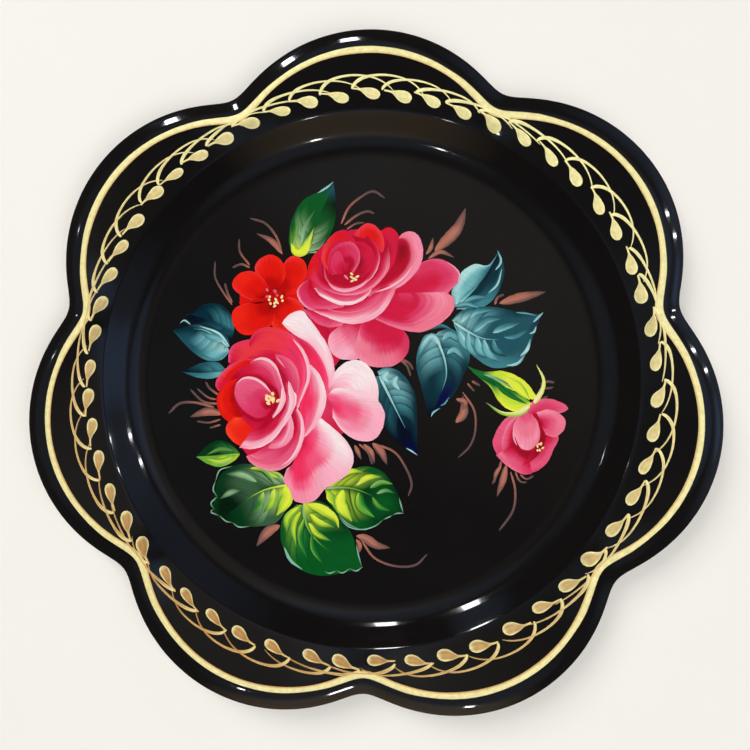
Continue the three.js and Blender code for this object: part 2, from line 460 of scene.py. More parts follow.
def add_berry(strokes, hand, angle, seat):
    """A round berry that thins into a tail, curving outwards."""
    size = 1 + hand.normal(0, 0.08)
    angles = angle + np.radians([-1.5, -0.5, 0.6, 1.8, 3.0, 4.2])
    radii = seat + np.array([-0.7, -0.6, -0.1, 0.8, 1.4, 1.8]) * (1 + hand.normal(0, 0.2))
    path = smooth_path(in_plane(radii, angles), 30)
    t = np.linspace(0, 1, 30)
    widest = 0.27
    head = np.sqrt(np.clip(1 - ((t - widest) / widest) ** 2, 0, 1))
    taper = 0.5 + 0.5 * np.cos(np.pi * np.clip((t - widest) / 0.64, 0, 1))
    body = np.where(t < widest, head, taper)
    width = size * np.maximum(BERRY_WIDTH * body, np.where(t > 0.3, 1.3 - 0.7 * t, 0))
    # The berry's tones are painted paler on the tray's lit side, by the default share: painted sheen.
    strokes.add(path, width, "ZZZZZ ZxXxZ ZxXxZ zxxxZ zzz zz", 0.20, 11, lift=0.04)


def add_scroll(strokes, hand, tail, start, lift):
    """A thin scroll from a berry's tail, which arches back over two berries."""
    reach = math.radians(SCROLL_REACH + hand.normal(0, 0.5))
    top = SCROLL_TOP + LOBE_ARCH * max(0, how_far_out(tail - reach * 0.45)) ** 1.6
    end = SCROLL_END + LOBE_SHIFT * how_far_out(tail - reach)
    share = np.array([0.0, 0.02, 0.07, 0.15, 0.26, 0.40, 0.55, 0.70, 0.83, 0.93, 1.0])
    rise = np.array([0.0, 0.26, 0.54, 0.78, 0.93, 1.0, 0.97, 0.84, 0.60, 0.30, 0.0])
    foot = start + (end - start) * share
    path = smooth_path(in_plane(foot + (top - foot) * rise, tail - reach * share), 50)
    t = np.linspace(0, 1, 50)
    width = np.interp(t, [0, 0.03, 0.14, 0.30, 0.6, 0.92, 1.0], [0.8, 1.3, 1.35, 0.95, 0.72, 0.5, 0.2])
    # The scroll's tones are painted much paler on the tray's lit side: painted sheen.
    strokes.add(path, width, "zZz zXz zXz XxX XxX", 0.09, 5, lift=lift, paling=0.9)


def gold_vine(material):
    """Berries round the flange, each with a scroll that arches over the two before it."""
    hand = np.random.default_rng(7)
    strokes = Strokes()
    for k in range(VINE_BERRIES):
        angle = k * (2 * math.pi / VINE_BERRIES) + math.radians(hand.normal(0, 0.35)) + FIRST_BERRY
        # The painter's spacing isn't even: this moves the berries a little round the rim.
        angle += 0.05 * math.cos(angle) - 0.03 * (1 - math.sin(angle))
        seat = BERRY_SEAT + LOBE_SHIFT * how_far_out(angle) + hand.normal(0, 0.3)
        tail = angle + math.radians(4.3 + hand.normal(0, 0.3))
        add_berry(strokes, hand, angle, seat)
        add_scroll(strokes, hand, tail, seat + 1.7, lift=0.02 * (k % 3))
    return strokes.build("gold_vine", material)


# ---------------------------------------------------------------- brushwork of the bouquet
PALETTE = {
    # pinks, from nearly white to the darkest crimson
    "W": (255, 234, 236), "w": (255, 208, 218), "P": (255, 178, 198), "p": (250, 146, 172),
    "S": (243, 124, 148), "M": (234, 90, 128), "m": (222, 58, 100), "C": (212, 30, 68),
    "c": (184, 16, 48), "D": (146, 8, 34),
    # two hotter pinks
    "H": (247, 52, 98), "h": (248, 92, 132),
    # reds
    "j": (238, 60, 72), "O": (252, 72, 44), "R": (241, 41, 27), "r": (228, 28, 22), "q": (188, 16, 18),
    "Q": (128, 8, 12),
    # teals and blues
    "A": (176, 224, 222), "a": (118, 184, 190), "T": (66, 132, 142), "t": (36, 84, 96), "B": (20, 50, 60),
    "b": (42, 56, 96), "N": (15, 20, 70), "n": (14, 24, 40),
    # greens and yellows
    "Y": (232, 242, 70), "y": (196, 226, 60), "G": (112, 172, 60), "g": (38, 126, 56), "E": (8, 88, 38),
    "F": (16, 58, 32), "f": (12, 36, 24), "V": (152, 194, 142), "e": (60, 96, 66),
    # twigs
    "U": (190, 120, 100), "u": (150, 97, 84), "v": (100, 78, 78),
    # stamens
    "L": (255, 238, 180), "l": (250, 206, 128),
    # gold: its brightest powder, thick powder and two thinner coats
    "Z": (255, 244, 176), "z": (238, 200, 124), "X": (208, 154, 84), "x": (188, 134, 72),
}


def linear(rgb):
    """Screen colour, 0 to 255, as linear light, less what the clear lacquer's own gloss adds to it."""
    c = np.asarray(rgb, dtype=float) / 255
    light = np.where(c <= 0.04045, c / 12.92, ((c + 0.055) / 1.055) ** 2.4)
    return np.clip(light - 0.006, 0.0006, 1) * 0.84


def blend_tones(rows, u, v):
    """Colour at (u, v) from rows of palette letters: v runs down the rows, u along each of them."""
    table = [np.array([linear(PALETTE[letter]) for letter in row]) for row in rows.split()]

    def along(row, at):
        spot = np.clip(at, 0, 1) * (len(row) - 1)
        first = np.minimum(spot.astype(int), max(len(row) - 2, 0))
        part = spot - first
        part = part * part * (3 - 2 * part)
        part = part[..., None]
        return row[first] * (1 - part) + row[np.minimum(first + 1, len(row) - 1)] * part

    shades = np.stack([along(row, u) for row in table])
    spot = np.clip(v, 0, 1) * (len(table) - 1)
    first = np.minimum(spot.astype(int), max(len(table) - 2, 0))
    part = spot - first
    part = (part * part * (3 - 2 * part))[..., None]
    i, j = np.indices(spot.shape)
    after = np.minimum(first + 1, len(table) - 1)
    return shades[first, i, j] * (1 - part) + shades[after, i, j] * part


class Paint:
    """Flat films of coloured paint, gathered into one mesh. Each lies a hair above the one before."""

    level = 0.010  # the highest film so far, above the floor
    petal_step = 0.006  # how much higher each petal lies than the film before it
    stroke_step = 0.002  # and each stroke
    rib_points = 121  # along a leaf's midrib and margins
    hand = np.random.default_rng(21)

    def __init__(self):
        self.verts, self.faces, self.colours, self.flow, self.count, self.films = [], [], [], [], 0, 0

    def film(self, xy, colours, flow, step):
        """Adds one film, given as a grid of plan points, with its rim turned down to the sheet."""
        Paint.level += step
        rows, columns = xy.shape[:2]
        z = np.full((rows, columns, 1), SHEET + Paint.level)
        self.faces += strip_quads(rows, columns, start=self.count)
        border = [(i, 0) for i in range(rows)]
        border += [(rows - 1, j) for j in range(1, columns)]
        border += [(i, columns - 1) for i in range(rows - 2, -1, -1)]
        border += [(0, j) for j in range(columns - 2, 0, -1)]
        i, j = np.array(border).T
        foot = np.concatenate([xy[i, j], np.full((len(border), 1), SHEET - 0.01)], 1)
        start = self.count + rows * columns
        for k in range(len(border)):
            after = (k + 1) % len(border)
            a, b = self.count + i[k] * columns + j[k], self.count + i[after] * columns + j[after]
            self.faces.append((int(a), start + k, start + after, int(b)))
        self.verts += [np.concatenate([xy, z], 2).reshape(-1, 3), foot]
        self.colours += [colours.reshape(-1, 3), colours[i, j]]
        seed = np.full((rows, columns, 1), self.films * 3.7)
        flow = np.concatenate([flow, seed], 2)
        self.flow += [flow.reshape(-1, 3), flow[i, j]]
        self.count = start + len(border)
        self.films += 1

    def streaks(self, across, along, size):
        """Slow noise that is stretched along the brush's path, about -1 to 1."""
        total = np.zeros_like(across)
        for pitch, share in ((size, 0.5), (size * 0.45, 0.3), (size * 0.2, 0.2)):
            turn = Paint.hand.uniform(0, 2 * math.pi, 3)
            bend_in = 0.8 * np.sin(along / (pitch * 9) + turn[0])
            total += share * np.sin(across / pitch * 2 * math.pi + bend_in * 2 + turn[1])
            total += share * 0.6 * np.sin(across / pitch * 3.9 + along / (pitch * 5) + turn[2])
        return total

    def petal(self, base, edge, tones, grain="out", wear=0.03):
        """A petal between its base and its outer edge. Rows of tones run from the base to the edge.

        wear is how unevenly the brush blends one row into the next.
        """
        reach = max(math.dist(base[0], edge[0]), math.dist(base[-1], edge[-1]),
                    math.dist(base[len(base) // 2], edge[len(edge) // 2]))
        length = sum(math.dist(a, b) for a, b in zip(edge, edge[1:]))
        nu, nv = max(10, int(length / 0.6)), max(8, int(reach / 0.55))
        outer = smooth_path(edge, nu)
        inner = np.repeat(np.array(base, dtype=float), nu, 0) if len(base) == 1 else smooth_path(base, nu)
        wobble = self.streaks(np.linspace(0, length, nu), np.zeros(nu), 5.0) * 0.10
        away = outer - inner
        outer = outer + away / np.maximum(np.hypot(*away.T), 1e-6)[:, None] * wobble[:, None]
        v, u = np.meshgrid(np.linspace(0, 1, nv) ** 0.85, np.linspace(0, 1, nu), indexing="ij")
        xy = inner[None] * (1 - v[..., None]) + outer[None] * v[..., None]
        across, along = (u * length, v * reach) if grain == "out" else (v * reach, u * length)
        shift = self.streaks(across, along, 2.6)
        fade = np.minimum(1, (1 - v) * 6)
        colours = blend_tones(tones, u, v + wear * shift * fade)
        colours = colours * (1 + 0.08 * self.streaks(across, along, 1.3))[..., None]
        self.film(xy, np.clip(colours, 0, 1), np.stack([along, across], -1), self.petal_step)

    def stroke(self, path, width, tones, shape="leaf"):
        """One pull of the brush along a path. Tones run from its left side to its right."""
        length = sum(math.dist(a, b) for a, b in zip(path, path[1:]))
        nu = max(8, int(length / 0.7))
        line = smooth_path(path, nu)
        ahead = np.gradient(line, axis=0)
        ahead /= np.maximum(np.hypot(*ahead.T), 1e-9)[:, None]
        side = np.stack([-ahead[:, 1], ahead[:, 0]], 1)
        t = np.linspace(0, 1, nu)
        shapes = {
            "leaf": np.sin(math.pi * np.clip(t, 0, 1) ** 0.8) ** 0.8,
            "tail": np.minimum(1, (t + 0.02) * 7) ** 0.5 * (1 - t) ** 0.7,
            "line": np.minimum(1, np.minimum(t + 0.01, 1.01 - t) * 8) ** 0.5,
            "drop": np.sqrt(np.clip(1 - (2 * t - 1) ** 2, 0, 1)),
        }
        half = width / 2 * np.maximum(shapes[shape], 0.06) * (1 + 0.05 * self.streaks(t * length, t, 4.0))
        columns = max(4, int(width / 0.5) + 2)
        v = np.linspace(-1, 1, columns)
        xy = line[:, None] + side[:, None] * (half[:, None] * v)[..., None]
        across, along = np.meshgrid((v + 1) / 2, t)
        shift = 0.10 * self.streaks(across * width, along * length, 1.2)
        colours = blend_tones(tones, across + shift, along)
        flow = np.stack([along * length, across * width], -1)
        self.film(xy, np.clip(colours, 0, 1), flow, self.stroke_step)

    def leaf(self, midrib, left, right, light, dark, strokes, rib, rib_width=0.8, span=0.7,
             rib_share=0.8):
        """A leaf: a smooth ground of dark tones, with curved blades of lighter paint over it.

        light and dark are two strings each, for the left side and the right. Their letters run from the
        leaf's base to its tip, and rows of dark ones from the midrib to the margin.
        """
        rib_line = smooth_path(midrib, self.rib_points)
        for side, margin in enumerate((left, right)):
            edge_line = smooth_path(margin, self.rib_points)
            self.petal(midrib, margin, dark[side])
            for i in range(strokes[side]):
                pitch = span / strokes[side]
                start = max(0, (i + Paint.hand.uniform(-0.15, 0.15)) * pitch)
                self.blade(rib_line, edge_line, start, 1.6 * pitch, light[side], dark[side])
        last = int(self.rib_points * rib_share)
        self.stroke(rib_line[:last:20].tolist(), rib_width, rib, "tail")

    def blade(self, rib_line, edge_line, start, share, light, ground):
        """A curved pull of the brush from the midrib to the margin, crisp on the side of the base."""
        slant = 0.30
        spots = np.arange(self.rib_points) / (self.rib_points - 1)
        u, v = np.meshgrid(np.linspace(0, 1, 12), np.linspace(0, 1, 20))
        t = np.clip(start + share * u, 0, 1)

        def on(line, at):
            return np.stack([np.interp(np.clip(at, 0, 1), spots, line[:, k]) for k in range(2)], -1)

        root, tip = on(rib_line, t - slant), on(edge_line, t)
        knee = 0.35 * root + 0.65 * on(edge_line, t - 0.55 * slant)
        w = v[..., None]
        xy = root * (1 - w) ** 2 + knee * 2 * w * (1 - w) + tip * w**2
        uneven = u + 0.07 * self.streaks(u * 4, v * 8, 1.0)
        side = np.clip(uneven * 9, 0, 1) * np.clip(1.08 - uneven, 0, 1) ** 0.8
        reach = Paint.hand.uniform(0.75, 1.0)
        run = np.clip(v * 7, 0, 1) * np.clip((reach - v) / 0.45, 0, 1)
        amount = (side * run * Paint.hand.uniform(0.75, 1.0))[..., None]
        gap = 1 - 0.55 * np.clip((u - 0.62) / 0.38, 0, 1) * np.clip(v * 5, 0, 1) * (1 - v)
        colours = blend_tones(ground, np.clip(t - slant * (1 - v), 0, 1), v) * gap[..., None] * (1 - amount)
        colours += blend_tones(light, t, v) * amount
        self.film(xy, np.clip(colours, 0, 1), np.stack([v * 12, u * 3], -1), self.stroke_step)

    def dots(self, places, size, tone):
        """Small drops of paint, each pulled its own way."""
        for x, y in places:
            turn = Paint.hand.uniform(0, math.pi)
            reach = size * Paint.hand.uniform(0.7, 1.3)
            end = (x + reach * math.cos(turn), y + reach * math.sin(turn))
            self.stroke([(x, y), end], size * 0.62, tone, "drop")

    def build(self, name, material, slot):
        thing = new_object(name, np.concatenate(self.verts), self.faces, material, smooth=False)
        set_paint(thing, self.colours, self.flow)
        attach(thing, "root")


def paint_material(name):
    """Oil paint under the clear lacquer: its own colour, with the bristles' fine streaks."""
    m = Nodes(name)
    colour = m.node("ShaderNodeAttribute", attribute_name="paint").outputs["Color"]
    flow = m.node("ShaderNodeAttribute", attribute_name="flow").outputs["Vector"]
    along = m.node("ShaderNodeMapping", {"Vector": flow, "Scale": (0.12, 2.4, 1.0)}).outputs["Vector"]
    bristles = m.noise(along, 1.4, 3.0)
    shade = m.ramp(bristles, 0.25, 0.75, 0.90, 1.10)
    colour = m.mix(1.0, colour, shade, "MULTIPLY")
    at = m.place()
    normal = m.bump(m.noise(at, 0.045, 2.0), 0.30, 0.5)
    normal = m.bump(bristles, 0.006, 0.4, normal)
    rough = m.ramp(bristles, 0.3, 0.7, 0.30, 0.40)
    m.shader.inputs["Specular IOR Level"].default_value = 0.05
    return m.finish(Base_Color=colour, Roughness=rough, Normal=normal, Coat_Weight=0.9,
                    Coat_Roughness=0.03)


# ---------------------------------------------------------------- the bouquet
def sprigs():
    """Copper sprigs behind the flowers: fine curls and leaf-shaped blades."""
    p = Paint()
    curls = [
        [(-38.5, 57), (-41, 64), (-46, 70), (-53, 72.5)], [(-53, 51), (-57.5, 57), (-58, 63)],
        [(-53, 50), (-57, 51.5), (-61, 50)], [(-61, 33), (-66, 40), (-69, 46), (-69, 53)],
        [(-61, 34), (-63, 38), (-64.5, 43)], [(-11.5, 69.5), (-8, 77), (-2, 82), (3, 84), (8, 81)],
        [(-10, 69), (-5, 73), (0, 75), (3.5, 74)], [(-9, 67), (-5, 69.5), (-1, 70)],
        [(57, 33), (58, 36), (61, 37.5)], [(14, 9), (18, 6), (20, 1)], [(15, 9), (19, 7), (21, 4)],
        [(45, -2), (48, -5.5)], [(47, -1), (50.5, -3)],
        [(43, -6), (48, -14), (48.5, -23), (46, -30), (41, -35)],
        [(5, -29.5), (13, -33), (18, -40), (20.5, -47), (19, -52.5)], [(77, -2), (80, -1), (83, -1.5)],
        [(77, -3.5), (80, -4), (82.5, -3.5)], [(-69, -13.5), (-78, -11.5), (-85, -12), (-90, -16.5)],
        [(-68, -10), (-72, -9), (-77, -5)], [(-67, -8), (-71, -5), (-73, -2)],
        [(-67, -12), (-74, -11), (-80, -5.5)], [(-66, -19), (-71, -20.5), (-77, -20)],
        [(-66, -21.5), (-71, -23)], [(-2, -72), (4, -80), (13, -83.5), (22, -83), (27.5, -78)],
        [(60, -36), (58.5, -41), (56, -46.5)], [(64, -41), (66, -49), (65, -58), (59, -67)],
        [(66, -41), (68, -45), (71, -45.5)], [(68, -42), (71, -44), (74, -42.5)],
        [(72, -13), (76, -9.5), (80, -7.5)], [(-3, -29.5), (1, -33), (3, -38.5)],
    ]
    for path in curls:
        p.stroke(path, Paint.hand.uniform(0.85, 1.15), "uUu uuv vvv vvv", "line")
    blades = [
        ([(-38, 56), (-43, 62), (-50, 65.5)], 2.6), ([(30.5, 57), (37, 63), (41, 68), (44, 76)], 5.2),
        ([(26.5, 55.5), (28.5, 58), (29.7, 63)], 2.0), ([(27.5, 53.5), (33, 56.5), (39, 54)], 2.0),
        ([(59, 33.5), (66, 35.5), (72, 37), (79, 38.5)], 4.2),
        ([(40, -19.5), (43.5, -15), (43, -7.5)], 3.8), ([(-65, -16.5), (-72, -15.5), (-80, -18)], 3.8),
        ([(-38.5, -66.5), (-44, -69.5), (-49, -76)], 4.4),
        ([(-4, -70.5), (0, -71.5), (5, -74.5), (11, -75.5)], 4.0),
        ([(62, -38), (60.5, -45), (58, -52)], 3.0), ([(-5, -30), (-3.5, -33), (-2, -36.5)], 2.0),
        ([(-1, -29.5), (2.5, -33), (4, -38)], 2.2), ([(3, -29), (7, -33), (9.5, -38.5)], 3.4),
        ([(40, -9), (44, -10.5), (43, -14)], 2.4), ([(60, -38), (57.5, -42), (57, -46)], 1.8),
        ([(-4, -72), (-2.5, -75), (-3.5, -79)], 2.2),
    ]
    for path, width in blades:
        p.stroke(path, width, "uUU vUu vUu vuv vvv")
    return p


def teal_leaves():
    """Three leaves at the left and four at the right."""
    p = Paint()
    p.leaf([(-60, 21), (-65, 23), (-74, 27), (-82, 29)], [(-60, 21), (-62, 18), (-72, 22), (-82, 27)],
           [(-60, 22), (-61, 28), (-66, 33), (-73, 33.5), (-79, 30), (-82, 27)], ("tt", "TTt"),
           ("Bn", "tBB BBn"), (3, 6), "tt BB")
    p.leaf([(-63, 14), (-68, 18.5), (-76, 22), (-88, 21.5)],
           [(-62, 12), (-66, 8), (-73, 8), (-80, 12.5), (-88, 21)],
           [(-62, 14), (-63, 18), (-68, 22), (-76, 24.5), (-88, 22)], ("AAaT", "AaTt"),
           ("tBBB TTtB aTtt", "tBB tBn"), (7, 5), "AA aT", 1.0, 0.8)
    p.leaf([(-64, 3), (-70, 2.5), (-77, 2), (-84, 2.5)], [(-64, 2), (-70, -0.5), (-77, 0), (-84, 2.5)],
           [(-64, 4), (-68, 7), (-75, 6.5), (-84, 2.5)], ("AaTt", "aTt"), ("aTt aTt", "tBn Ttn"), (3, 4),
           "TT BB", 0.7)
    p.petal([(41, 32), (47, 39), (53, 46), (59, 57)],
            [(39, 33), (38, 39), (42, 47), (48, 51), (54, 50.5), (59, 57)], "TTtB aaTT AaaT aAAt TAAt")
    p.petal([(41, 32), (47, 39), (53, 46), (59, 57)],
            [(40, 31), (48, 31), (55, 34), (60, 42), (61, 49), (59, 57)], "BBnn tBBn TtBB tTtB ATBt",
            "along")
    p.leaf([(39, 25), (50, 18.5), (60, 17.5), (68, 21), (77, 28)],
           [(38, 26), (44, 31), (55, 32), (66, 30), (77, 28.5)],
           [(39, 24), (43, 15), (49, 9), (56, 5), (64, 6), (71, 12), (74, 20), (77, 28)],
           ("AAaTT", "AaaTt"), ("ttttt Ttttt TttBt", "ttttb TtttB TTTtb"), (6, 6), "AA aT", 1.2, 0.62,
           0.6)
    p.leaf([(30.5, 19), (34.5, 10), (35.5, 0), (29, -17)],
           [(31, 20), (26, 19), (23, 12), (22.5, 5), (25, -5), (28, -17)],
           [(32, 21), (38, 22), (44, 17), (46, 9), (43, 1), (39, -7), (29, -17)], ("AAaTt", "AaTtB"),
           ("BBtBn TtBBn TTtBn", "nBBNn BtBNn tTBBn"), (6, 6), "AA aT", 1.2, 0.66, 0.7)
    p.leaf([(6, 1), (12, -11), (18, -23), (23, -34)],
           [(5, 3), (9, 5), (15, 3), (20, -3), (22.5, -11), (23, -34)],
           [(4, 1), (6, -14), (9, -22), (15, -29), (23, -34)], ("AAaTt", "TTttB"),
           ("BBBnN TtBBn", "BBnnN tBBnN"), (8, 6), "AA aT", 1.3, 0.75)
    highlights = [
        ([(33, 15), (29.5, 18.5), (26, 15.5), (23.5, 10)], 3.6, "aAAT TAaT TTTt"),
        ([(34, 17), (37.5, 19.5), (42.5, 15.5)], 3.2, "taA taT Btt"),
        ([(36, 11), (39.5, 12.5), (44, 8)], 3.0, "taA taT Btt"),
        ([(42, 25), (45.5, 29.5), (52, 29.5)], 3.2, "AAT aTt Ttt"),
        ([(48, 21), (53, 26), (60, 27)], 3.4, "AaT aTt Ttt"),
        ([(41, 21), (43.5, 15), (49, 11)], 3.8, "TaA taA BTT"),
        ([(49, 18.5), (50, 12.5), (56, 9)], 3.8, "TaA taa BTT"),
        ([(56, 17.5), (57, 13), (62, 10)], 3.0, "tTa BTT BBt"),
        ([(56, 20.5), (61, 23), (68, 25)], 3.0, "AaT aTt Ttt"),
        ([(61, 18.5), (66, 19), (71.5, 22)], 2.2, "aTt TTt Ttt"),
        ([(52, 17.5), (53.5, 11.5), (59, 7.5)], 3.2, "TaA Taa BTT"),
        ([(45, 21), (45.5, 14), (50, 9)], 2.6, "TaA Taa BTT"),
        ([(46, 27), (49, 30), (57, 31)], 2.4, "AaT aTt Ttt"),
        ([(62, 5.8), (67, 7), (71, 12)], 1.2, "aA aA Bt"),
        ([(68, 10), (71, 13), (72.5, 18)], 1.4, "aA AA aT"),
        ([(72, 20), (74, 21), (75, 23.5)], 0.9, "Aa"), ([(73.5, 25), (75.5, 27), (78, 29.5)], 1.0, "Aa"),
        ([(66, 29.5), (71, 29), (75, 28)], 0.8, "aT"), ([(43, 34), (48, 36), (55, 36)], 2.2, "TaT tTt"),
        ([(54, 38), (58, 42), (60, 49)], 0.9, "Aa"), ([(41, 33), (44, 36.5), (50, 42)], 1.6, "Aa aT TT"),
        ([(57, 48), (59.5, 52), (58, 57)], 0.9, "Aa"), ([(10, 3), (8, 0.5), (10, -1.5)], 3.4, "aAa"),
        ([(14, 1), (13, -2), (15, -5)], 3.2, "aAT"),
        ([(-63, 12), (-69, 10), (-75, 11)], 4.2, "AaT aaT TTt"),
        ([(-64, 17), (-69, 18), (-75, 20)], 3.4, "TaA TaT tTt"),
        ([(-62, 14), (-67, 20), (-76, 23.5)], 1.0, "AA"),
        ([(-80, 24), (-83, 26), (-85, 24.5)], 0.7, "Aa"), ([(29, -17), (30, -15), (33, -13)], 0.7, "Aa"),
        ([(33, -12), (35, -11), (37, -8)], 0.7, "aT"), ([(18, -31), (20, -32), (23, -34)], 0.8, "Aa"),
        ([(39, 32), (44, 33.5), (50, 31.5)], 1.6, "aT"), ([(28, 22), (33, 23.5), (38, 22)], 1.8, "tT"),
    ]
    for path, width, tones in highlights:
        p.stroke(path, width, tones)
    return p


def green_leaves():
    """One leaf at the top and four below the flowers."""
    p = Paint()
    p.leaf([(-31, 56), (-27, 63), (-22, 72), (-15, 87)],
           [(-32, 55.5), (-35, 61), (-34, 71), (-29, 80), (-22, 84), (-15, 88)],
           [(-30, 55), (-23, 57), (-18, 62), (-14.5, 70), (-14, 80), (-15, 88)], ("yyVgE", "VVVeE"),
           ("yEEEt gEEEF", "FFEFt eFEft"), (6, 7), "YY yG EE", 1.2, 0.7, 0.5)
    p.leaf([(-34, -48), (-45, -50.5), (-55, -56), (-65, -64)],
           [(-34, -50), (-34.5, -57), (-40, -65), (-48, -67), (-57, -67), (-66, -64)],
           [(-34, -47), (-37, -45), (-45, -41), (-54, -39), (-62, -41), (-67, -47), (-69, -59),
            (-66, -64)], ("YYyVee", "VVVeee"), ("GeeFf GeeFf eeeFf", "fFeff Feeff eeFFF"), (8, 6),
           "YY yG EE", 1.1, 0.75, 0.75)
    p.leaf([(-28, -57), (-26, -67), (-18, -76), (-2, -84)],
           [(-28, -55.5), (-20, -55.5), (-12, -61), (-6, -70), (-4, -77), (-1.5, -84)],
           [(-31, -57), (-37, -63), (-38, -72), (-35, -80), (-29, -86), (-20, -88.5), (-10, -87),
            (-1.5, -84.5)], ("YYGgE", "YyGggE"), ("yEEEE EEFEE", "EFEEE gEEEE"), (6, 7), "VV GG EE", 1.2,
           0.62, 0.72)
    p.leaf([(-18, -49.5), (-8, -49), (2, -52), (16.5, -60)],
           [(-18, -50), (-10, -43), (-4, -40), (2, -39.5), (8, -42), (12, -47), (15, -53), (17, -60)],
           [(-18, -51), (-16, -56), (-9, -64), (-2, -67.5), (5, -66), (10, -62), (17, -60)],
           ("YYyGE", "YYyGE"), ("EFFEF gEEFF", "EFFEF gEEFF"), (7, 6), "VV GG EE", 1.0, 0.7, 0.7)
    p.leaf([(-57, -34.5), (-64, -35), (-70, -35.5), (-77, -36)],
           [(-57, -35), (-60, -38), (-66, -40.5), (-72, -39), (-77, -36)],
           [(-57, -34), (-61, -30), (-67, -28.5), (-72, -31), (-77, -36)], ("GyyG", "GgF"),
           ("gGG yGG", "eFF FFF"), (5, 5), "Gy gE", 0.6)
    highlights = [
        ([(-34, 61), (-32.5, 57), (-29, 56.5), (-26.5, 60), (-23.5, 68)], 3.2, "GYy yYY YYY EYV EEy"),
        ([(-33.5, 60), (-32, 65), (-31, 71)], 2.2, "VGE eGE"),
        ([(-29.5, 60), (-28, 68), (-23, 76)], 1.6, "VV ee"),
        ([(-27, 57), (-21, 59), (-18, 64)], 1.0, "VV ee"),
        ([(-26, 56.5), (-19, 57.5), (-15.5, 62)], 0.8, "VV ee"),
        ([(-22, 83.5), (-18, 86), (-15, 88.5)], 0.9, "Aa"),
        ([(-36, -48.5), (-35.5, -54), (-40, -62)], 6.0, "yYYy GyYy FGyG"),
        ([(-41, -50), (-42, -56), (-46, -61)], 3.6, "yYV GyG FgG"),
        ([(-46, -51.5), (-48, -57), (-52, -62)], 3.2, "GyV egG FeF"),
        ([(-39, -45), (-45, -42.3), (-50, -40.3)], 2.6, "FyG Fyy FGV"),
        ([(-36, -46.5), (-39, -43.5), (-43, -42)], 1.2, "yV"),
        ([(-49, -47), (-55, -44), (-63, -43.5)], 4.4, "eVe eVe Fee"),
        ([(-52, -41), (-46, -42), (-41, -48)], 2.6, "Fyy FGV FeV"),
        ([(-56, -51), (-61, -52), (-66, -55)], 3.0, "FeF eVe FeF"),
        ([(-26, -57), (-20, -59), (-14, -63), (-12, -67)], 5.0, "EyYY EyYY EgyY"),
        ([(-25, -61), (-21, -65), (-14, -67)], 3.4, "EYY EyY EgG"),
        ([(-25.5, -65), (-22, -70), (-15, -73)], 3.0, "EYY EyG EgE"),
        ([(-30, -58), (-35, -63), (-35.5, -70)], 3.2, "yYG GyG EgG"),
        ([(-29, -60), (-32, -67), (-31, -76)], 3.0, "YyE GyE EGE"),
        ([(-27.5, -63), (-29, -72), (-26, -81)], 2.6, "yGE GgE EgE"),
        ([(-24, -70), (-23, -77), (-18, -84)], 2.4, "GgE GgE EEE"),
        ([(-17, -51), (-15, -54), (-13, -57)], 4.0, "YyG yGE"),
        ([(-36.5, -76), (-33.5, -82), (-28, -86)], 1.3, "aV"),
        ([(-10, -50), (-11, -56), (-6, -64)], 6.6, "GYYyG GYYyE EGyGE"),
        ([(-3, -51), (-2, -57), (4, -62)], 5.0, "EyGgE EGGgE EgGgE"),
        ([(3, -53), (6, -57), (11, -59)], 3.0, "EGE EgE"),
        ([(-12, -45.5), (-7, -42), (-1, -42)], 3.0, "EYV EYy EGG"),
        ([(-4, -48), (1, -44.5), (7, -44)], 3.0, "EYV EYy EGG"),
        ([(2, -49), (7, -46.5), (12, -47)], 2.4, "EGV EGG"),
        ([(5, -51.5), (9, -50), (13, -51)], 2.0, "EVG EgE"),
        ([(-60, -33), (-66, -32.5), (-72, -35)], 2.0, "eGe"),
        ([(-60, -36), (-66, -38), (-72, -37)], 2.6, "GyV GyG"),
    ]
    for path, width, tones in highlights:
        p.stroke(path, width, tones)
    scallops = [
        [(-68, -47), (-69, -51), (-67, -54)], [(-67, -54), (-70, -57), (-68.5, -59.5)],
        [(-68.5, -59.5), (-70, -61), (-66, -62.5)], [(-68, -47), (-66, -42), (-60, -40)],
        [(-66, -62.5), (-63, -65), (-60, -65.5)], [(-60, -65.5), (-57, -67.5), (-52, -67)],
        [(-12, -61), (-8, -65), (-2, -67.7)], [(-12, -62), (-8, -66), (-3, -67.5), (3, -66.5)],
        [(-1, -84), (-4, -86), (-7, -85)], [(-7, -85), (-10, -87), (-13, -86)],
        [(-13, -86.3), (-16, -87.3), (-18, -86.6)], [(17, -60), (14, -60), (12, -61)],
        [(12, -61), (10, -62), (8, -63)], [(8, -63), (4, -66), (-2, -67.5), (-8, -65)],
        [(15, -53), (16, -57), (17, -60)], [(-4, -74), (-3, -79), (-1.5, -84)],
    ]
    for path in scallops:
        p.stroke(path, 0.55, "Ve aV Ve")
    return p


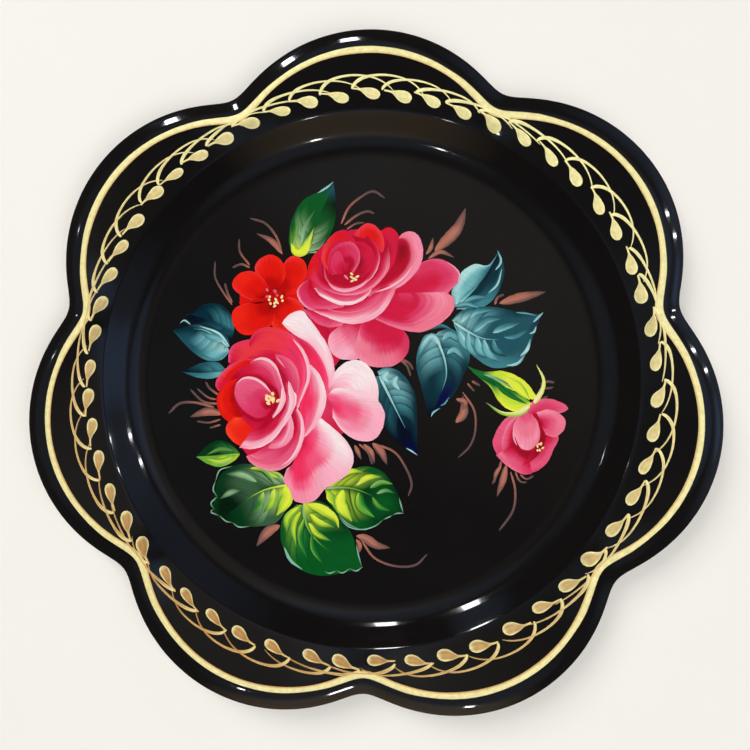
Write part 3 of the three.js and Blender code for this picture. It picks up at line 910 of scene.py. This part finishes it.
def red_flower():
    """A small open flower of five petals."""
    p = Paint()
    p.petal([(-42, 36)],
            [(-57.5, 34.4), (-56, 44), (-44, 50), (-35, 51), (-29, 38), (-36, 26), (-48, 24), (-57, 33),
             (-57.5, 34.4)], "q r")
    p.petal([(-41, 41), (-37, 37)],
            [(-38, 50), (-36, 53.5), (-33, 55.2), (-29.5, 54), (-27, 50.5), (-27, 46), (-29, 42),
             (-32, 38)], "QqQ qqr qrr rrR jRr")
    p.petal([(-45, 40), (-40, 39)],
            [(-50, 46), (-50.5, 50.5), (-48, 54), (-44, 55.7), (-40, 54.5), (-37, 50.5), (-36.5, 46),
             (-38.5, 42)], "QqQ qqq rrq RrR jRR")
    p.petal([(-47, 36), (-43, 39)],
            [(-52, 35), (-57, 37.5), (-60.7, 41), (-60, 45), (-56, 48), (-51, 48), (-47, 45), (-44, 41)],
            "QqQ qrq rrr rRr jRj")
    p.petal([(-38, 35), (-41, 32)],
            [(-35, 36.5), (-31, 35), (-28, 31), (-31, 24), (-36, 20), (-40, 20.5), (-42.5, 24),
             (-42, 29)], "qqQ qrq RrR jRO")
    p.petal([(-44, 35), (-41, 32)],
            [(-49, 33.5), (-54, 33.7), (-59.5, 31.5), (-61, 27), (-59, 22), (-55, 19.3), (-50, 20),
             (-45, 22), (-42, 26), (-41, 30)], "QqQQ qqqq qrrq rRrr jRRr")
    p.dots([(-44.3, 39), (-42.2, 39.3), (-41, 38), (-45.5, 36.3), (-40.8, 36.8)], 1.6, "SjS")
    p.dots([(-43.9, 36), (-43.6, 34.6), (-43, 33), (-42.2, 32), (-41.6, 33), (-40.2, 34.5), (-39.6, 33.4),
            (-38.4, 35.6), (-38.2, 34.3)], 1.7, "lLL")
    return p


def upper_rose():
    """The upper rose, from its outer petals to its heart."""
    p = Paint()
    p.petal([(-14, 22)],
            [(-26, 30), (-10, 30), (4, 24), (-2, 12), (-10, 10), (-15, 5), (-19, 12), (-26, 22),
             (-26, 30)], "c C")
    p.petal([(2, 44)],
            [(-28, 42), (-24, 55), (-12, 65), (2, 67), (14, 64), (22, 60), (23, 52), (34, 50), (37, 38),
             (34, 28), (20, 23), (8, 24), (-8, 25), (-22, 30), (-29, 36), (-28, 42)], "c C")
    p.petal([(-10, 30), (0, 28)],
            [(-27, 33), (-22, 27), (-17, 22), (-15, 18), (-8, 17), (0, 20), (4, 24)], "c C C")
    p.petal([(-24, 31), (-16, 29), (-8, 28)], [(-29, 31), (-25, 27), (-21, 24), (-16, 22.8), (-9, 24)],
            "cCm CmM MMS")
    p.petal([(-8, 26), (-3, 23), (-2, 15)],
            [(-13, 22.5), (-16.3, 19.5), (-17, 15.5), (-15.5, 11.5), (-12, 8.8), (-7, 8.2), (-2, 9)],
            "CCmM CMSS MpPp pPPp")
    p.petal([(-2, 26), (4, 25), (9, 24), (13, 25)],
            [(-4, 18), (-5.5, 13), (-2.5, 8), (2, 5.4), (8, 5), (13, 6), (17.3, 9.5), (19.2, 14),
             (18.5, 19), (15, 23)], "CCCCC mCCCC MmCCC pSmCC pSSmC SpSmm")
    p.petal([(9, 36), (10, 41), (13, 44)],
            [(33, 35), (37, 39), (40.3, 42.5), (41.3, 46.5), (39, 49.7), (35, 52.5), (30, 53.4), (25, 52),
             (20, 49)], "cccc cCCc CCCC CCmC mCmm MmmM SMMm")
    p.stroke([(40.6, 43), (41.2, 46.5), (39, 49.6), (35.5, 52)], 0.7, "Pp")
    p.petal([(10, 38), (8, 34), (5, 31)],
            [(35, 38.5), (38.5, 36), (39, 31.5), (36, 27), (31, 23.3), (25, 20.8), (19, 21), (12, 23),
             (4, 26.5)], "CCCC CCCC mCCC mCCC CCCC MmCC SMmm pSMm pSSM SSSS", "along", 0.05)
    p.petal([(3, 60), (6, 57), (7, 52), (4, 47), (2, 44)],
            [(6.5, 66), (8.5, 67.3), (11, 67.4), (13.7, 65), (15, 60), (14.5, 54), (12, 48), (8, 43),
             (3, 40)], "DDcC ccCm CCCS rCCM")
    p.petal([(14, 62), (13.5, 57), (12, 51), (8, 46), (0, 41)],
            [(14, 61.5), (15.5, 64.3), (18.5, 65.7), (22, 64.8), (24.5, 61), (25.2, 55), (23.5, 49.5),
             (20, 45), (15, 41), (8, 38), (1, 36.5)], "ccccc cDccC CDccC CccCm SSSSM SppSM SppPS",
            "along")
    p.petal([(-5, 55), (3, 51)],
            [(-6, 61), (-5, 65.3), (-2, 68.5), (1, 69.5), (4, 68.3), (6.7, 65), (8, 60.5), (7.3, 55)],
            "cDD ccD cqc CrC jrj jjj")
    p.petal([(-18, 54), (-19, 49), (-17, 44), (-12, 40)],
            [(-20, 58), (-24, 55), (-26.2, 50), (-26, 45), (-23, 40.5), (-18, 37)], "cccC cCCC Crmm CrrM")
    p.petal([(-25, 44), (-24, 40), (-20, 36), (-10, 35)],
            [(-27, 44), (-30, 41.5), (-31.3, 38.5), (-30.2, 35), (-27.5, 32), (-23.5, 30.2), (-17, 30.8),
             (-10, 32)], "ccCC cCmC CCmC CmmM CmMM mmMM SPSS", "along")
    p.petal([(-23, 31), (-15, 31), (-6, 32.5), (2, 37), (8, 42)],
            [(-23.5, 30), (-18, 27.5), (-12, 25.3), (-7, 24.3), (-2, 24.7), (4, 27), (8.5, 31),
             (11.5, 36), (13.5, 41)], "cCCCC CmmmC mMMMm MSSMm SPPSM PwPPS PwPPS", "along")
    p.petal([(-14, 51)],
            [(-19, 52), (-18, 60), (-10, 64), (0, 62), (7, 55), (5, 45), (-4, 39), (-14, 40), (-19, 46),
             (-19, 52)], "c c")
    p.petal([(-17, 42), (-10, 39), (-3, 40), (2, 44)],
            [(-23.5, 40.5), (-21, 37.3), (-17, 34.8), (-12, 32.9), (-7, 32.9), (-2, 34.7), (1.5, 38),
             (3, 42)], "ccccC cCmCC cmmmC CmMmC mMMMm mPPPS PWWwP", "along")
    p.petal([(-20, 50), (-18, 45), (-12, 41), (-5, 41), (1, 44), (4, 49), (5, 55)],
            [(-24, 52), (-24, 46), (-21, 41.3), (-15, 38.3), (-8, 37), (-1, 38.3), (5, 42.3), (9.3, 47.5),
             (10.5, 52), (10, 59)], "DccccD CcCCcc CcCmmCc rCmMmmc rmMMSSc CmSSSSC", "along")
    p.petal([(-16, 50), (-14, 45), (-9, 43), (-3, 44.5), (0, 49), (1, 56), (-2, 60)],
            [(-19.5, 52), (-18.5, 45), (-15, 41), (-9, 39), (-3, 40.5), (2.5, 45), (5.3, 50), (6, 55),
             (4.5, 60), (0, 64)], "cccccDD cccccDc cccccDc ccCCCcc CCmmmCc CSPPPmc", "along")
    p.petal([(-14, 49), (-16, 54)],
            [(-15, 46), (-20, 52), (-20, 57), (-18.3, 61), (-15, 64.8), (-11, 66.7), (-8, 65.5),
             (-5.3, 62), (-3.5, 58)], "cccC cccc cccc rrCC jjrC jjCC")
    p.petal([(-6, 48), (-8, 54)], [(-2, 45), (2, 48.5), (4, 53), (2.5, 58), (-1.5, 61), (-6, 61)],
            "DDD cDc cCc CCC")
    p.petal([(-8, 47), (-8, 50)],
            [(-17, 47), (-17.5, 52), (-16.3, 57), (-12.5, 60.3), (-8, 61.3), (-5, 60), (-3, 56.3),
             (-3.3, 51.5), (-6, 47)], "DccD cCcc cccc CCmC CCmM CmMM")
    p.petal([(-10, 47), (-10, 49)],
            [(-14, 46.5), (-16, 50), (-15.5, 54.5), (-13.5, 57), (-11.5, 56.5), (-9.8, 52), (-9.5, 48)],
            "ccc CCc CmC mmC")
    p.stroke([(-17, 42.5), (-14, 40.3), (-9, 39.4), (-3.5, 41), (1, 44.5)], 1.6, "Pp")
    p.stroke([(-21.5, 38.3), (-17, 35.5), (-11, 33.6), (-5, 34.2), (0, 37.2)], 1.5, "wW")
    p.stroke([(-13, 37.9), (-5, 37.7), (3, 41), (8, 46.5), (9.5, 52)], 0.9, "Sp")
    p.stroke([(-19, 31.4), (-12, 29.6), (-4, 29.8), (3, 33), (7.5, 38)], 0.8, "MS")
    p.stroke([(4, 38.5), (11, 41), (17, 45.3), (20.5, 50.5)], 0.9, "Pw")
    p.stroke([(-10, 46.3), (-9, 45.2), (-8.1, 44.2)], 1.0, "Sp")
    p.dots([(-5.9, 46.3), (-4.9, 45.2), (-6.7, 44.7), (-5.6, 44), (-7.2, 43.2), (-6.2, 45.4)], 1.5, "lLL")
    return p


def lower_rose():
    """The lower rose, from its outer petals to its heart."""
    p = Paint()
    p.petal([(-20, -12)],
            [(-24, 2), (-16, -1), (-10, -8), (-8, -22), (-14, -26), (-22, -28), (-28, -20), (-28, -6),
             (-24, 2)], "m C")
    p.petal([(-42, -5)],
            [(-64, 3), (-56, 14), (-44, 20), (-34, 18), (-22, 8), (-18, -6), (-22, -24), (-32, -34),
             (-44, -38), (-52, -36), (-58, -28), (-64, -14), (-64, 3)], "c C")
    p.petal([(-23, -19), (-27, -26), (-30, -32), (-33, -39)],
            [(-20, -18), (-15, -22), (-10.5, -26), (-7, -30.5), (-5.3, -35.5), (-6.5, -40.5),
             (-10, -44.5), (-14.5, -47.3), (-18.5, -50), (-22, -54.3), (-27, -56.2), (-32, -55),
             (-34, -50.5), (-36.8, -46), (-35.5, -41)], "hHCCm PhHHm wPhHm WwhHS WWPhp WWPpp WwPpp")
    p.petal([(-17, -6), (-12, -8), (-6, -9)],
            [(-16.5, -3), (-14.7, 1.5), (-11.3, 5.6), (-7, 7.9), (-3, 8), (1, 5.6), (4, 1), (5.5, -4),
             (5.7, -10)], "MSPP SPww PwWw wWWw WWWw", "along")
    p.petal([(-17, -7), (-17, -9), (-15, -13)],
            [(-14, -4.6), (-10, -4.3), (-5, -5), (1, -6.6), (5.5, -10), (8.3, -15), (8.3, -19),
             (6.7, -24), (3.5, -27.4), (-1, -28.2), (-6, -26.8), (-11, -23), (-14.8, -17.5)],
            "hhmh phHh wphhp wPhpP WwppP WwPPw wwPPW")
    p.petal([(-28, 12), (-25, 5), (-24, -4)],
            [(-36, 21), (-30, 18.5), (-24, 14.5), (-19.5, 8.5), (-17, 2), (-16.6, -5), (-18.5, -14)],
            "HHH CHH CHH mhh", "along")
    p.petal([(-38, 24.5), (-35, 21.5), (-31, 18.7), (-26, 15.8), (-22, 11.5), (-18.8, 6), (-17, 0),
             (-16.8, -4)],
            [(-36.8, 26.5), (-34, 29), (-29, 30.3), (-25.5, 26.5), (-21, 20.5), (-17, 14.3), (-14.7, 8),
             (-14.1, 2.5), (-15.6, -3)], "wwPPp WWwwP WWWwP wWwPP", "along")
    p.petal([(-57, 5), (-50, 9), (-44, 11)],
            [(-62.5, 7), (-62, 12), (-59.5, 15.3), (-55, 16.9), (-50, 17.8), (-44, 18)],
            "qcC jjC CjC Cjj Mmj")
    p.petal([(-52, 9), (-44, 9), (-38, 7), (-35, 1), (-33.5, -6), (-32, -12)],
            [(-53, 16), (-51, 20), (-47, 22.5), (-42, 22.9), (-37, 21.5), (-32, 18), (-28, 12.8),
             (-25.3, 6), (-25, 0), (-26.7, -5.5), (-30.5, -14)],
            "CCCmC jCCHm jjHHm jjHHh jjmHh CjHhp CjHhP mjMpw", "along")
    p.petal([(-27, 3), (-27.5, -3), (-29, -9), (-30, -14), (-29, -20), (-28.3, -25)],
            [(-25, 6), (-21.5, 2.5), (-18.8, -3), (-17.7, -9), (-18.8, -14.5), (-21.5, -20), (-25, -24.5),
             (-28, -27)], "mHHHm hHHHm hhHhh pphhS PwwPP wWwPP", "along")
    p.petal([(-60, -6), (-58, 0), (-53, 2.5), (-47, 2)],
            [(-67, -6), (-68.3, -3), (-66.3, 1.2), (-62, 5.2), (-57, 7.7), (-51, 8.8), (-45, 9)],
            "ccCC ccCC CrCC CrrC CjrC mMjm")
    p.petal([(-54, -16), (-59, -10), (-58, -3)],
            [(-61, -21), (-65.5, -17), (-67.5, -12), (-67.2, -8), (-65.2, -4.5), (-62, -2),
             (-58.5, -0.5)], "qqq qqq qrq rrr rRr rrR")
    p.petal([(-50, -34), (-45, -31), (-40, -28), (-36, -24), (-33.5, -19), (-32.5, -15)],
            [(-54, -35.5), (-52, -38.2), (-48, -40.7), (-43, -42), (-38, -41.2), (-33, -37.7),
             (-29.3, -32), (-27.7, -25), (-28.2, -19), (-30.7, -13.5)],
            "mmccD MmCcC MMmcC SMmCm MMMmS SSMSP SppPw", "along")
    p.petal([(-37, -22), (-38.5, -25), (-42, -28)],
            [(-34, -16), (-32.4, -21), (-32.8, -26), (-35.3, -29.8), (-39.5, -31.7), (-44, -32)],
            "CCm mMM pPS PpS", "along")
    p.petal([(-56, -18), (-52, -22), (-46, -24)],
            [(-60, -18), (-63.2, -22), (-62.8, -25.5), (-60, -28.9), (-56.5, -31), (-52, -31.6),
             (-46, -29.5)], "RRrC ORRC ORRm RORM")
    p.petal([(-50, -22), (-46, -20), (-42, -16), (-39, -12), (-37, -6), (-36, -1)],
            [(-57, -31.5), (-52, -32.3), (-46, -30.8), (-41, -27.3), (-36.8, -21.7), (-33.3, -16),
             (-31.2, -10.5), (-31.8, -6), (-35, -0.5)], "CccDDc CcccCM mCCcMS MmCMPP PPPPww pwwwWw",
            "along")
    p.petal([(-40, 5), (-37, 1), (-35.5, -3)],
            [(-41, 10.7), (-36.5, 9.6), (-32.7, 6.6), (-30.4, 2), (-29.8, -3), (-30.6, -8)],
            "ccc Cmm mMm MSM", "along")
    p.petal([(-54, 2), (-48, 1), (-44, -3), (-42, -7), (-41.5, -11), (-42.5, -15)],
            [(-52, 7.5), (-47.5, 9), (-43.3, 8), (-39.8, 4.2), (-38, -1), (-36.6, -6), (-36.8, -11),
             (-38.7, -15), (-41.8, -18.3)], "rCcDD CmCcD CmmcC CMMmM mSMmP MPPPw", "along")
    p.petal([(-44, -12)],
            [(-60, -4), (-56, 1), (-48, 0), (-42, -6), (-40, -12), (-43, -18), (-50, -20), (-58, -14),
             (-60, -4)], "D c c")
    p.petal([(-42, -9), (-43, -12), (-44, -13)],
            [(-41.5, -8), (-44, -4.8), (-48, -1.4), (-52, 0.2), (-56, -0.4), (-58.8, -3), (-59.4, -7),
             (-58.2, -11), (-55, -15), (-50, -18), (-45.5, -17.5), (-42.5, -14.5)],
            "DccD Cmcc mmmC MMmC SMMmC SSMmC")
    p.stroke([(-45, -2.6), (-41.3, -6), (-40.2, -10.5), (-41.5, -15.5)], 2.6, "DcD")
    p.stroke([(-43, -6.3), (-46.5, -2.6), (-51, -0.2), (-55.5, -0.3), (-58.5, -2.8)], 1.2, "Pw")
    p.stroke([(-51, 7.8), (-47, 8.7), (-43, 7.3), (-40, 3.8), (-38.8, 0)], 1.3, "wP")
    p.stroke([(-37.6, -4), (-37.2, -9), (-38.6, -13.5), (-41.6, -18)], 2.4, "wP")
    p.stroke([(-40.5, 9.5), (-38.5, 7), (-36.3, 4.3)], 0.9, "Sp")
    p.stroke([(-34.8, -1.5), (-33.7, -6), (-33, -11), (-34.6, -16), (-37, -20)], 2.6, "wP")
    p.stroke([(-34, -19), (-34.4, -24), (-36.8, -28.6), (-39.4, -31.2)], 1.6, "Pp")
    p.stroke([(-29.5, -15.5), (-28.5, -20), (-28.5, -26), (-30.5, -32), (-34, -36.8), (-38, -39.5)], 1.8,
             "wP")
    p.stroke([(-33, 17.5), (-28.5, 12), (-26, 5.5), (-25.9, -0.5), (-27.7, -6), (-30.4, -13)], 1.6, "wP")
    p.dots([(-43.5, -8.5), (-41.5, -8), (-44.5, -10.5), (-43, -10.5), (-42, -11.5), (-41, -9.5),
            (-42.5, -9.5), (-40.5, -11), (-43, -12), (-44, -11.5)], 2.2, "lL")
    return p


def rose_bud():
    """The bud at the right, from its outer petals to its heart."""
    p = Paint()
    p.petal([(72, -27)],
            [(58, -24), (63, -17), (70, -12), (79, -12), (84, -18), (83, -28), (79, -36), (71, -40),
             (62, -36), (58, -30), (58, -24)], "D c")
    p.petal([(71, -15), (77, -15.5)],
            [(69, -12.5), (75, -9.2), (81, -8.6), (86.5, -10.6), (88.6, -13), (85, -14.8), (79, -15)],
            "mCm MmM SMS")
    p.petal([(72, -34), (75, -30), (78, -26)],
            [(71, -41.8), (76, -39.8), (80, -36), (82, -31.5), (84.5, -26), (83, -23)],
            "ccD mCC MmC MMm mMM")
    p.petal([(67, -20), (64, -27), (64, -34)],
            [(67, -14.5), (61.5, -17.5), (57.6, -23), (56, -28.3), (57.5, -32.5), (60, -35.5)],
            "cDc CcC mmC SMm MMm SMM")
    p.petal([(68, -19), (65.5, -25), (65, -33)],
            [(66.5, -16), (63, -19.5), (60.3, -25), (60, -31), (62.5, -36)], "DDc CCc mMm pSm")
    p.petal([(64, -29), (68, -33), (72, -35)],
            [(57.5, -33.5), (60.5, -36.8), (65, -40), (69, -41.8), (73, -41.6)], "ccD CmC mMC SMm MSm")
    p.petal([(76, -17), (77, -20)],
            [(75, -14.5), (80, -13.3), (84.5, -14.7), (87.4, -18), (86.8, -22), (83, -25.3), (78, -24)],
            "CcD MmC SMM pSM pSS")
    p.stroke([(77, -21), (77.5, -26), (74, -33), (69, -38)], 3.4, "cDc cDD cCc")
    p.petal([(69.5, -14), (71.5, -14)],
            [(67, -16.5), (64.9, -21), (65, -26.5), (67.8, -30.3), (72, -31), (75.3, -28.6), (76.5, -24),
             (75.6, -19), (73.3, -15.8)], "mMm mMm MSM SSSM SppS pPSM")
    p.stroke([(65.3, -25), (68, -30.6), (72.5, -31.3), (76, -27.5)], 0.8, "DC")
    p.dots([(75.5, -28.5), (76.8, -29.2), (77, -30.6), (75.6, -30.2), (75.3, -31.8), (76.6, -31.8)], 1.4,
           "lL")
    return p


def calyx():
    """The bud's stalk and sepals."""
    p = Paint()
    p.petal([(45, 5.3), (52, 0.5), (60, -3), (67, -6), (73, -9)],
            [(45, 5.6), (50, 3.6), (55, 3.2), (60, 3.6), (66, 1.6), (71, -2), (75.3, -8)],
            "gEGyYY gEyYYY EgyYYY", "along")
    p.petal([(46, 4.5), (54, 0), (62, -4), (70, -8)],
            [(45, 5), (50, 0.5), (55, -3.7), (58, -9), (62, -13), (67, -14.3), (73, -11)],
            "EEgEgG EEgyyG EgyYYY", "along")
    p.stroke([(47, 3.5), (53, 0.5), (59, -3), (66, -7.5)], 2.6, "EgE EEg EgE")
    p.stroke([(57, -2), (61, -5.5), (66, -8.5), (71, -11)], 2.2, "EgE")
    p.stroke([(52, 2), (58, 0), (64, -3.5), (70, -8)], 1.3, "aV Ve gE")
    p.stroke([(62, 0.5), (67, -3.5), (72, -9)], 4.5, "YYy yYG")
    p.stroke([(74, -10.5), (77.3, -5), (78, 0), (75, 6.3)], 2.6, "yLL yLy VLy", "tail")
    p.stroke([(72, -12), (67, -15.3), (60, -15), (53, -10.5)], 3.0, "LLG LyG VGe", "tail")
    return p


ROSE_PAINT = paint_material("rose_paint")
LEAF_PAINT = paint_material("leaf_paint")
TWIG_PAINT = paint_material("twig_paint")


def bouquet():
    """Painted from the back to the front, as each film lies over the ones before."""
    sprigs().build("copper_sprigs", TWIG_PAINT, "twig_paint")
    teal_leaves().build("teal_leaves", LEAF_PAINT, "leaf_paint")
    green_leaves().build("green_leaves", LEAF_PAINT, "leaf_paint")
    red_flower().build("red_flower", ROSE_PAINT, "rose_paint")
    upper_rose().build("upper_rose", ROSE_PAINT, "rose_paint")
    lower_rose().build("lower_rose", ROSE_PAINT, "rose_paint")
    rose_bud().build("rose_bud", ROSE_PAINT, "rose_paint")
    calyx().build("bud_calyx", LEAF_PAINT, "leaf_paint")


# ---------------------------------------------------------------- floor, camera and light
STAGE_HALF_WIDTH = 3000
STAGE_DROP = 0.02  # the floor lies this far below the tray's underside, so that the two don't coincide
DOME_RADIUS = 2900

# The camera in metres and degrees. The frame is slid off the lens's axis by shares of its width.
CAMERA_PLACE = (0.0099, 0.0017, 0.3238)
CAMERA_LENS = 34.56
CAMERA_SHIFT = (0.0494, -0.0135)
CAMERA_TIP = {"Y": -3.99, "X": -0.77, "Z": -0.23}

LAMP_DISTANCE = 1.5


def stage():
    """A wide pale floor, which the gloss doesn't show."""
    m = Nodes("pale_floor")
    grain = m.noise(m.place(), 0.02, 2.0)
    colour = m.mix(grain, (0.805, 0.785, 0.738, 1), (0.820, 0.800, 0.753, 1))
    material = m.finish(Base_Color=colour, Roughness=0.9, IOR=1.2)
    size = STAGE_HALF_WIDTH
    corners = [(-size, -size), (size, -size), (size, size), (-size, size)]
    verts = [(x, y, -STAGE_DROP) for x, y in corners]
    floor = new_object("pale_floor", verts, [(0, 1, 2, 3)], material, smooth=False)
    floor.visible_glossy = False


def backdrop():
    """A pale dome round the stage. Only the camera sees it, so it changes neither light nor gloss."""
    m = Nodes("pale_backdrop")
    colour = m.mix(m.noise(m.place(), 0.002, 2.0), (0.78, 0.76, 0.71, 1), (0.80, 0.78, 0.73, 1))
    material = m.finish(Base_Color=(0, 0, 0, 1), Emission_Color=colour, Emission_Strength=1.0)
    turns = np.linspace(0, 2 * math.pi, 64, endpoint=False)
    tilts = np.radians([-2, 10, 30, 50, 70, 89])
    rings = []
    for tilt in tilts:
        x, y = math.cos(tilt) * np.cos(turns), math.cos(tilt) * np.sin(turns)
        rings.append(np.stack([x, y, np.full(len(turns), math.sin(tilt))], 1))
    faces = strip_quads(len(tilts), len(turns), around=True)
    dome = new_object("pale_backdrop", np.concatenate(rings) * DOME_RADIUS, faces, material)
    dome.visible_diffuse = dome.visible_glossy = dome.visible_shadow = False


def camera():
    """Almost straight down, tipped a little, with the frame slid as in a cropped picture."""
    data = bpy.data.cameras.new("camera")
    data.sensor_width = 36
    data.lens = CAMERA_LENS
    data.shift_x, data.shift_y = CAMERA_SHIFT
    data.clip_start, data.clip_end = 0.01, 20
    eye = bpy.data.objects.new("camera", data)
    bpy.context.scene.collection.objects.link(eye)
    turn = Matrix.Identity(4)
    for axis, degrees in CAMERA_TIP.items():
        turn = turn @ Matrix.Rotation(math.radians(degrees), 4, axis)
    eye.matrix_world = Matrix.Translation(CAMERA_PLACE) @ turn.inverted()
    bpy.context.scene.camera = eye


def area_light(name, at, size, power, colour=(1, 1, 1), gloss=True, diffuse=True):
    """A rectangular lamp that faces the tray, in metres and watts."""
    data = bpy.data.lights.new(name, "AREA")
    data.shape = "RECTANGLE"
    data.size, data.size_y = size
    data.energy = power
    data.color = colour
    lamp = bpy.data.objects.new(name, data)
    lamp.location = at
    lamp.rotation_euler = (-Vector(at)).to_track_quat("-Z", "Y").to_euler()
    lamp.visible_glossy, lamp.visible_diffuse = gloss, diffuse
    bpy.context.scene.collection.objects.link(lamp)


def spherical(distance, azimuth, tilt):
    """A place at a distance, an azimuth and a tilt from straight up, in metres and degrees."""
    a, t = math.radians(azimuth), math.radians(tilt)
    out = distance * math.sin(t)
    return (out * math.cos(a), out * math.sin(a), distance * math.cos(t))


def room():
    """What the gloss reflects: a dim brown room with a few soft glows of daylight."""
    world = bpy.data.worlds.new("room")
    bpy.context.scene.world = world
    world.use_nodes = True
    tree = world.node_tree
    where = tree.nodes.new("ShaderNodeTexCoord").outputs["Generated"]
    total = None
    # Azimuth, tilt from straight up, half widths of the bright middle and of the whole, and colour.
    glows = [
        (5, 36, 5, 22, (0.12, 0.19, 0.34)), (40, 78, 8, 34, (0.05, 0.08, 0.14)),
        (100, 36, 6, 26, (0.09, 0.12, 0.17)), (55, 22, 2, 30, (0.12, 0.11, 0.09)),
        (-90, 84, 8, 34, (0.27, 0.19, 0.11)), (118, 86, 2, 9, (0.06, 0.10, 0.17)),
        (180, 45, 8, 36, (0.06, 0.08, 0.11)), (-85, 52, 8, 36, (0.08, 0.11, 0.15)),
        (0, 84, 10, 40, (0.07, 0.10, 0.15)), (-3, 78, 4, 14, (0.10, 0.18, 0.34)),
    ]
    dim_brown = (0.030, 0.024, 0.020, 1)
    for azimuth, tilt, middle, whole, colour in glows:
        near = tree.nodes.new("ShaderNodeVectorMath")
        near.operation = "DOT_PRODUCT"
        near.inputs[1].default_value = spherical(1, azimuth, tilt)
        tree.links.new(where, near.inputs[0])
        share = tree.nodes.new("ShaderNodeMapRange")
        share.interpolation_type = "SMOOTHSTEP"
        share.inputs["From Min"].default_value = math.cos(math.radians(whole))
        share.inputs["From Max"].default_value = math.cos(math.radians(middle))
        tree.links.new(near.outputs["Value"], share.inputs["Value"])
        glow = tree.nodes.new("ShaderNodeMix")
        glow.data_type, glow.blend_type = "RGBA", "ADD"
        tree.links.new(share.outputs["Result"], glow.inputs[0])
        if total is None:
            glow.inputs[6].default_value = dim_brown
        else:
            tree.links.new(total, glow.inputs[6])
        glow.inputs[7].default_value = (*colour, 1)
        total = glow.outputs[2]
    tree.links.new(total, tree.nodes["Background"].inputs["Color"])


def lights():
    """Soft light for the scene, kept out of the gloss, and small lamps that only the gloss shows."""
    area_light("key", (-0.95, 1.15, 1.6), (1.1, 1.1), 26, (1.0, 0.98, 0.95), gloss=False)
    area_light("overhead", (0.42, -0.50, 2.0), (2.4, 2.4), 45, (1.0, 0.985, 0.96), gloss=False)
    small_lamps = [  # azimuth, tilt, width, height, power
        (97, 64, 0.12, 0.36, 3.0), (117, 69, 0.10, 0.50, 4.5), (14, 72, 0.03, 0.30, 0.9),
        (21, 62, 0.03, 0.30, 0.9), (-110, 46, 0.04, 0.10, 0.4), (-80, 66, 0.06, 0.12, 0.8),
        (163, 60, 0.03, 0.05, 0.12),
    ]
    for k, (azimuth, tilt, width, height, power) in enumerate(small_lamps):
        at = spherical(LAMP_DISTANCE, azimuth, tilt)
        area_light(f"lamp_{k}", at, (width, height), power, diffuse=False)
    bpy.context.scene.view_settings.view_transform = "Standard"


camera()
room()
lights()
stage()
backdrop()
LACQUER = lacquer_material()
GOLD = gold_material()
tray = tray_skin(LACQUER)
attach(tray, "root")
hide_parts("tray_body")
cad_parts["edge_wire"].data.materials.clear()
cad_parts["edge_wire"].data.materials.append(wire_material())
for piece in (gold_line(GOLD), gold_vine(GOLD)):
    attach(piece, "root")

bouquet()
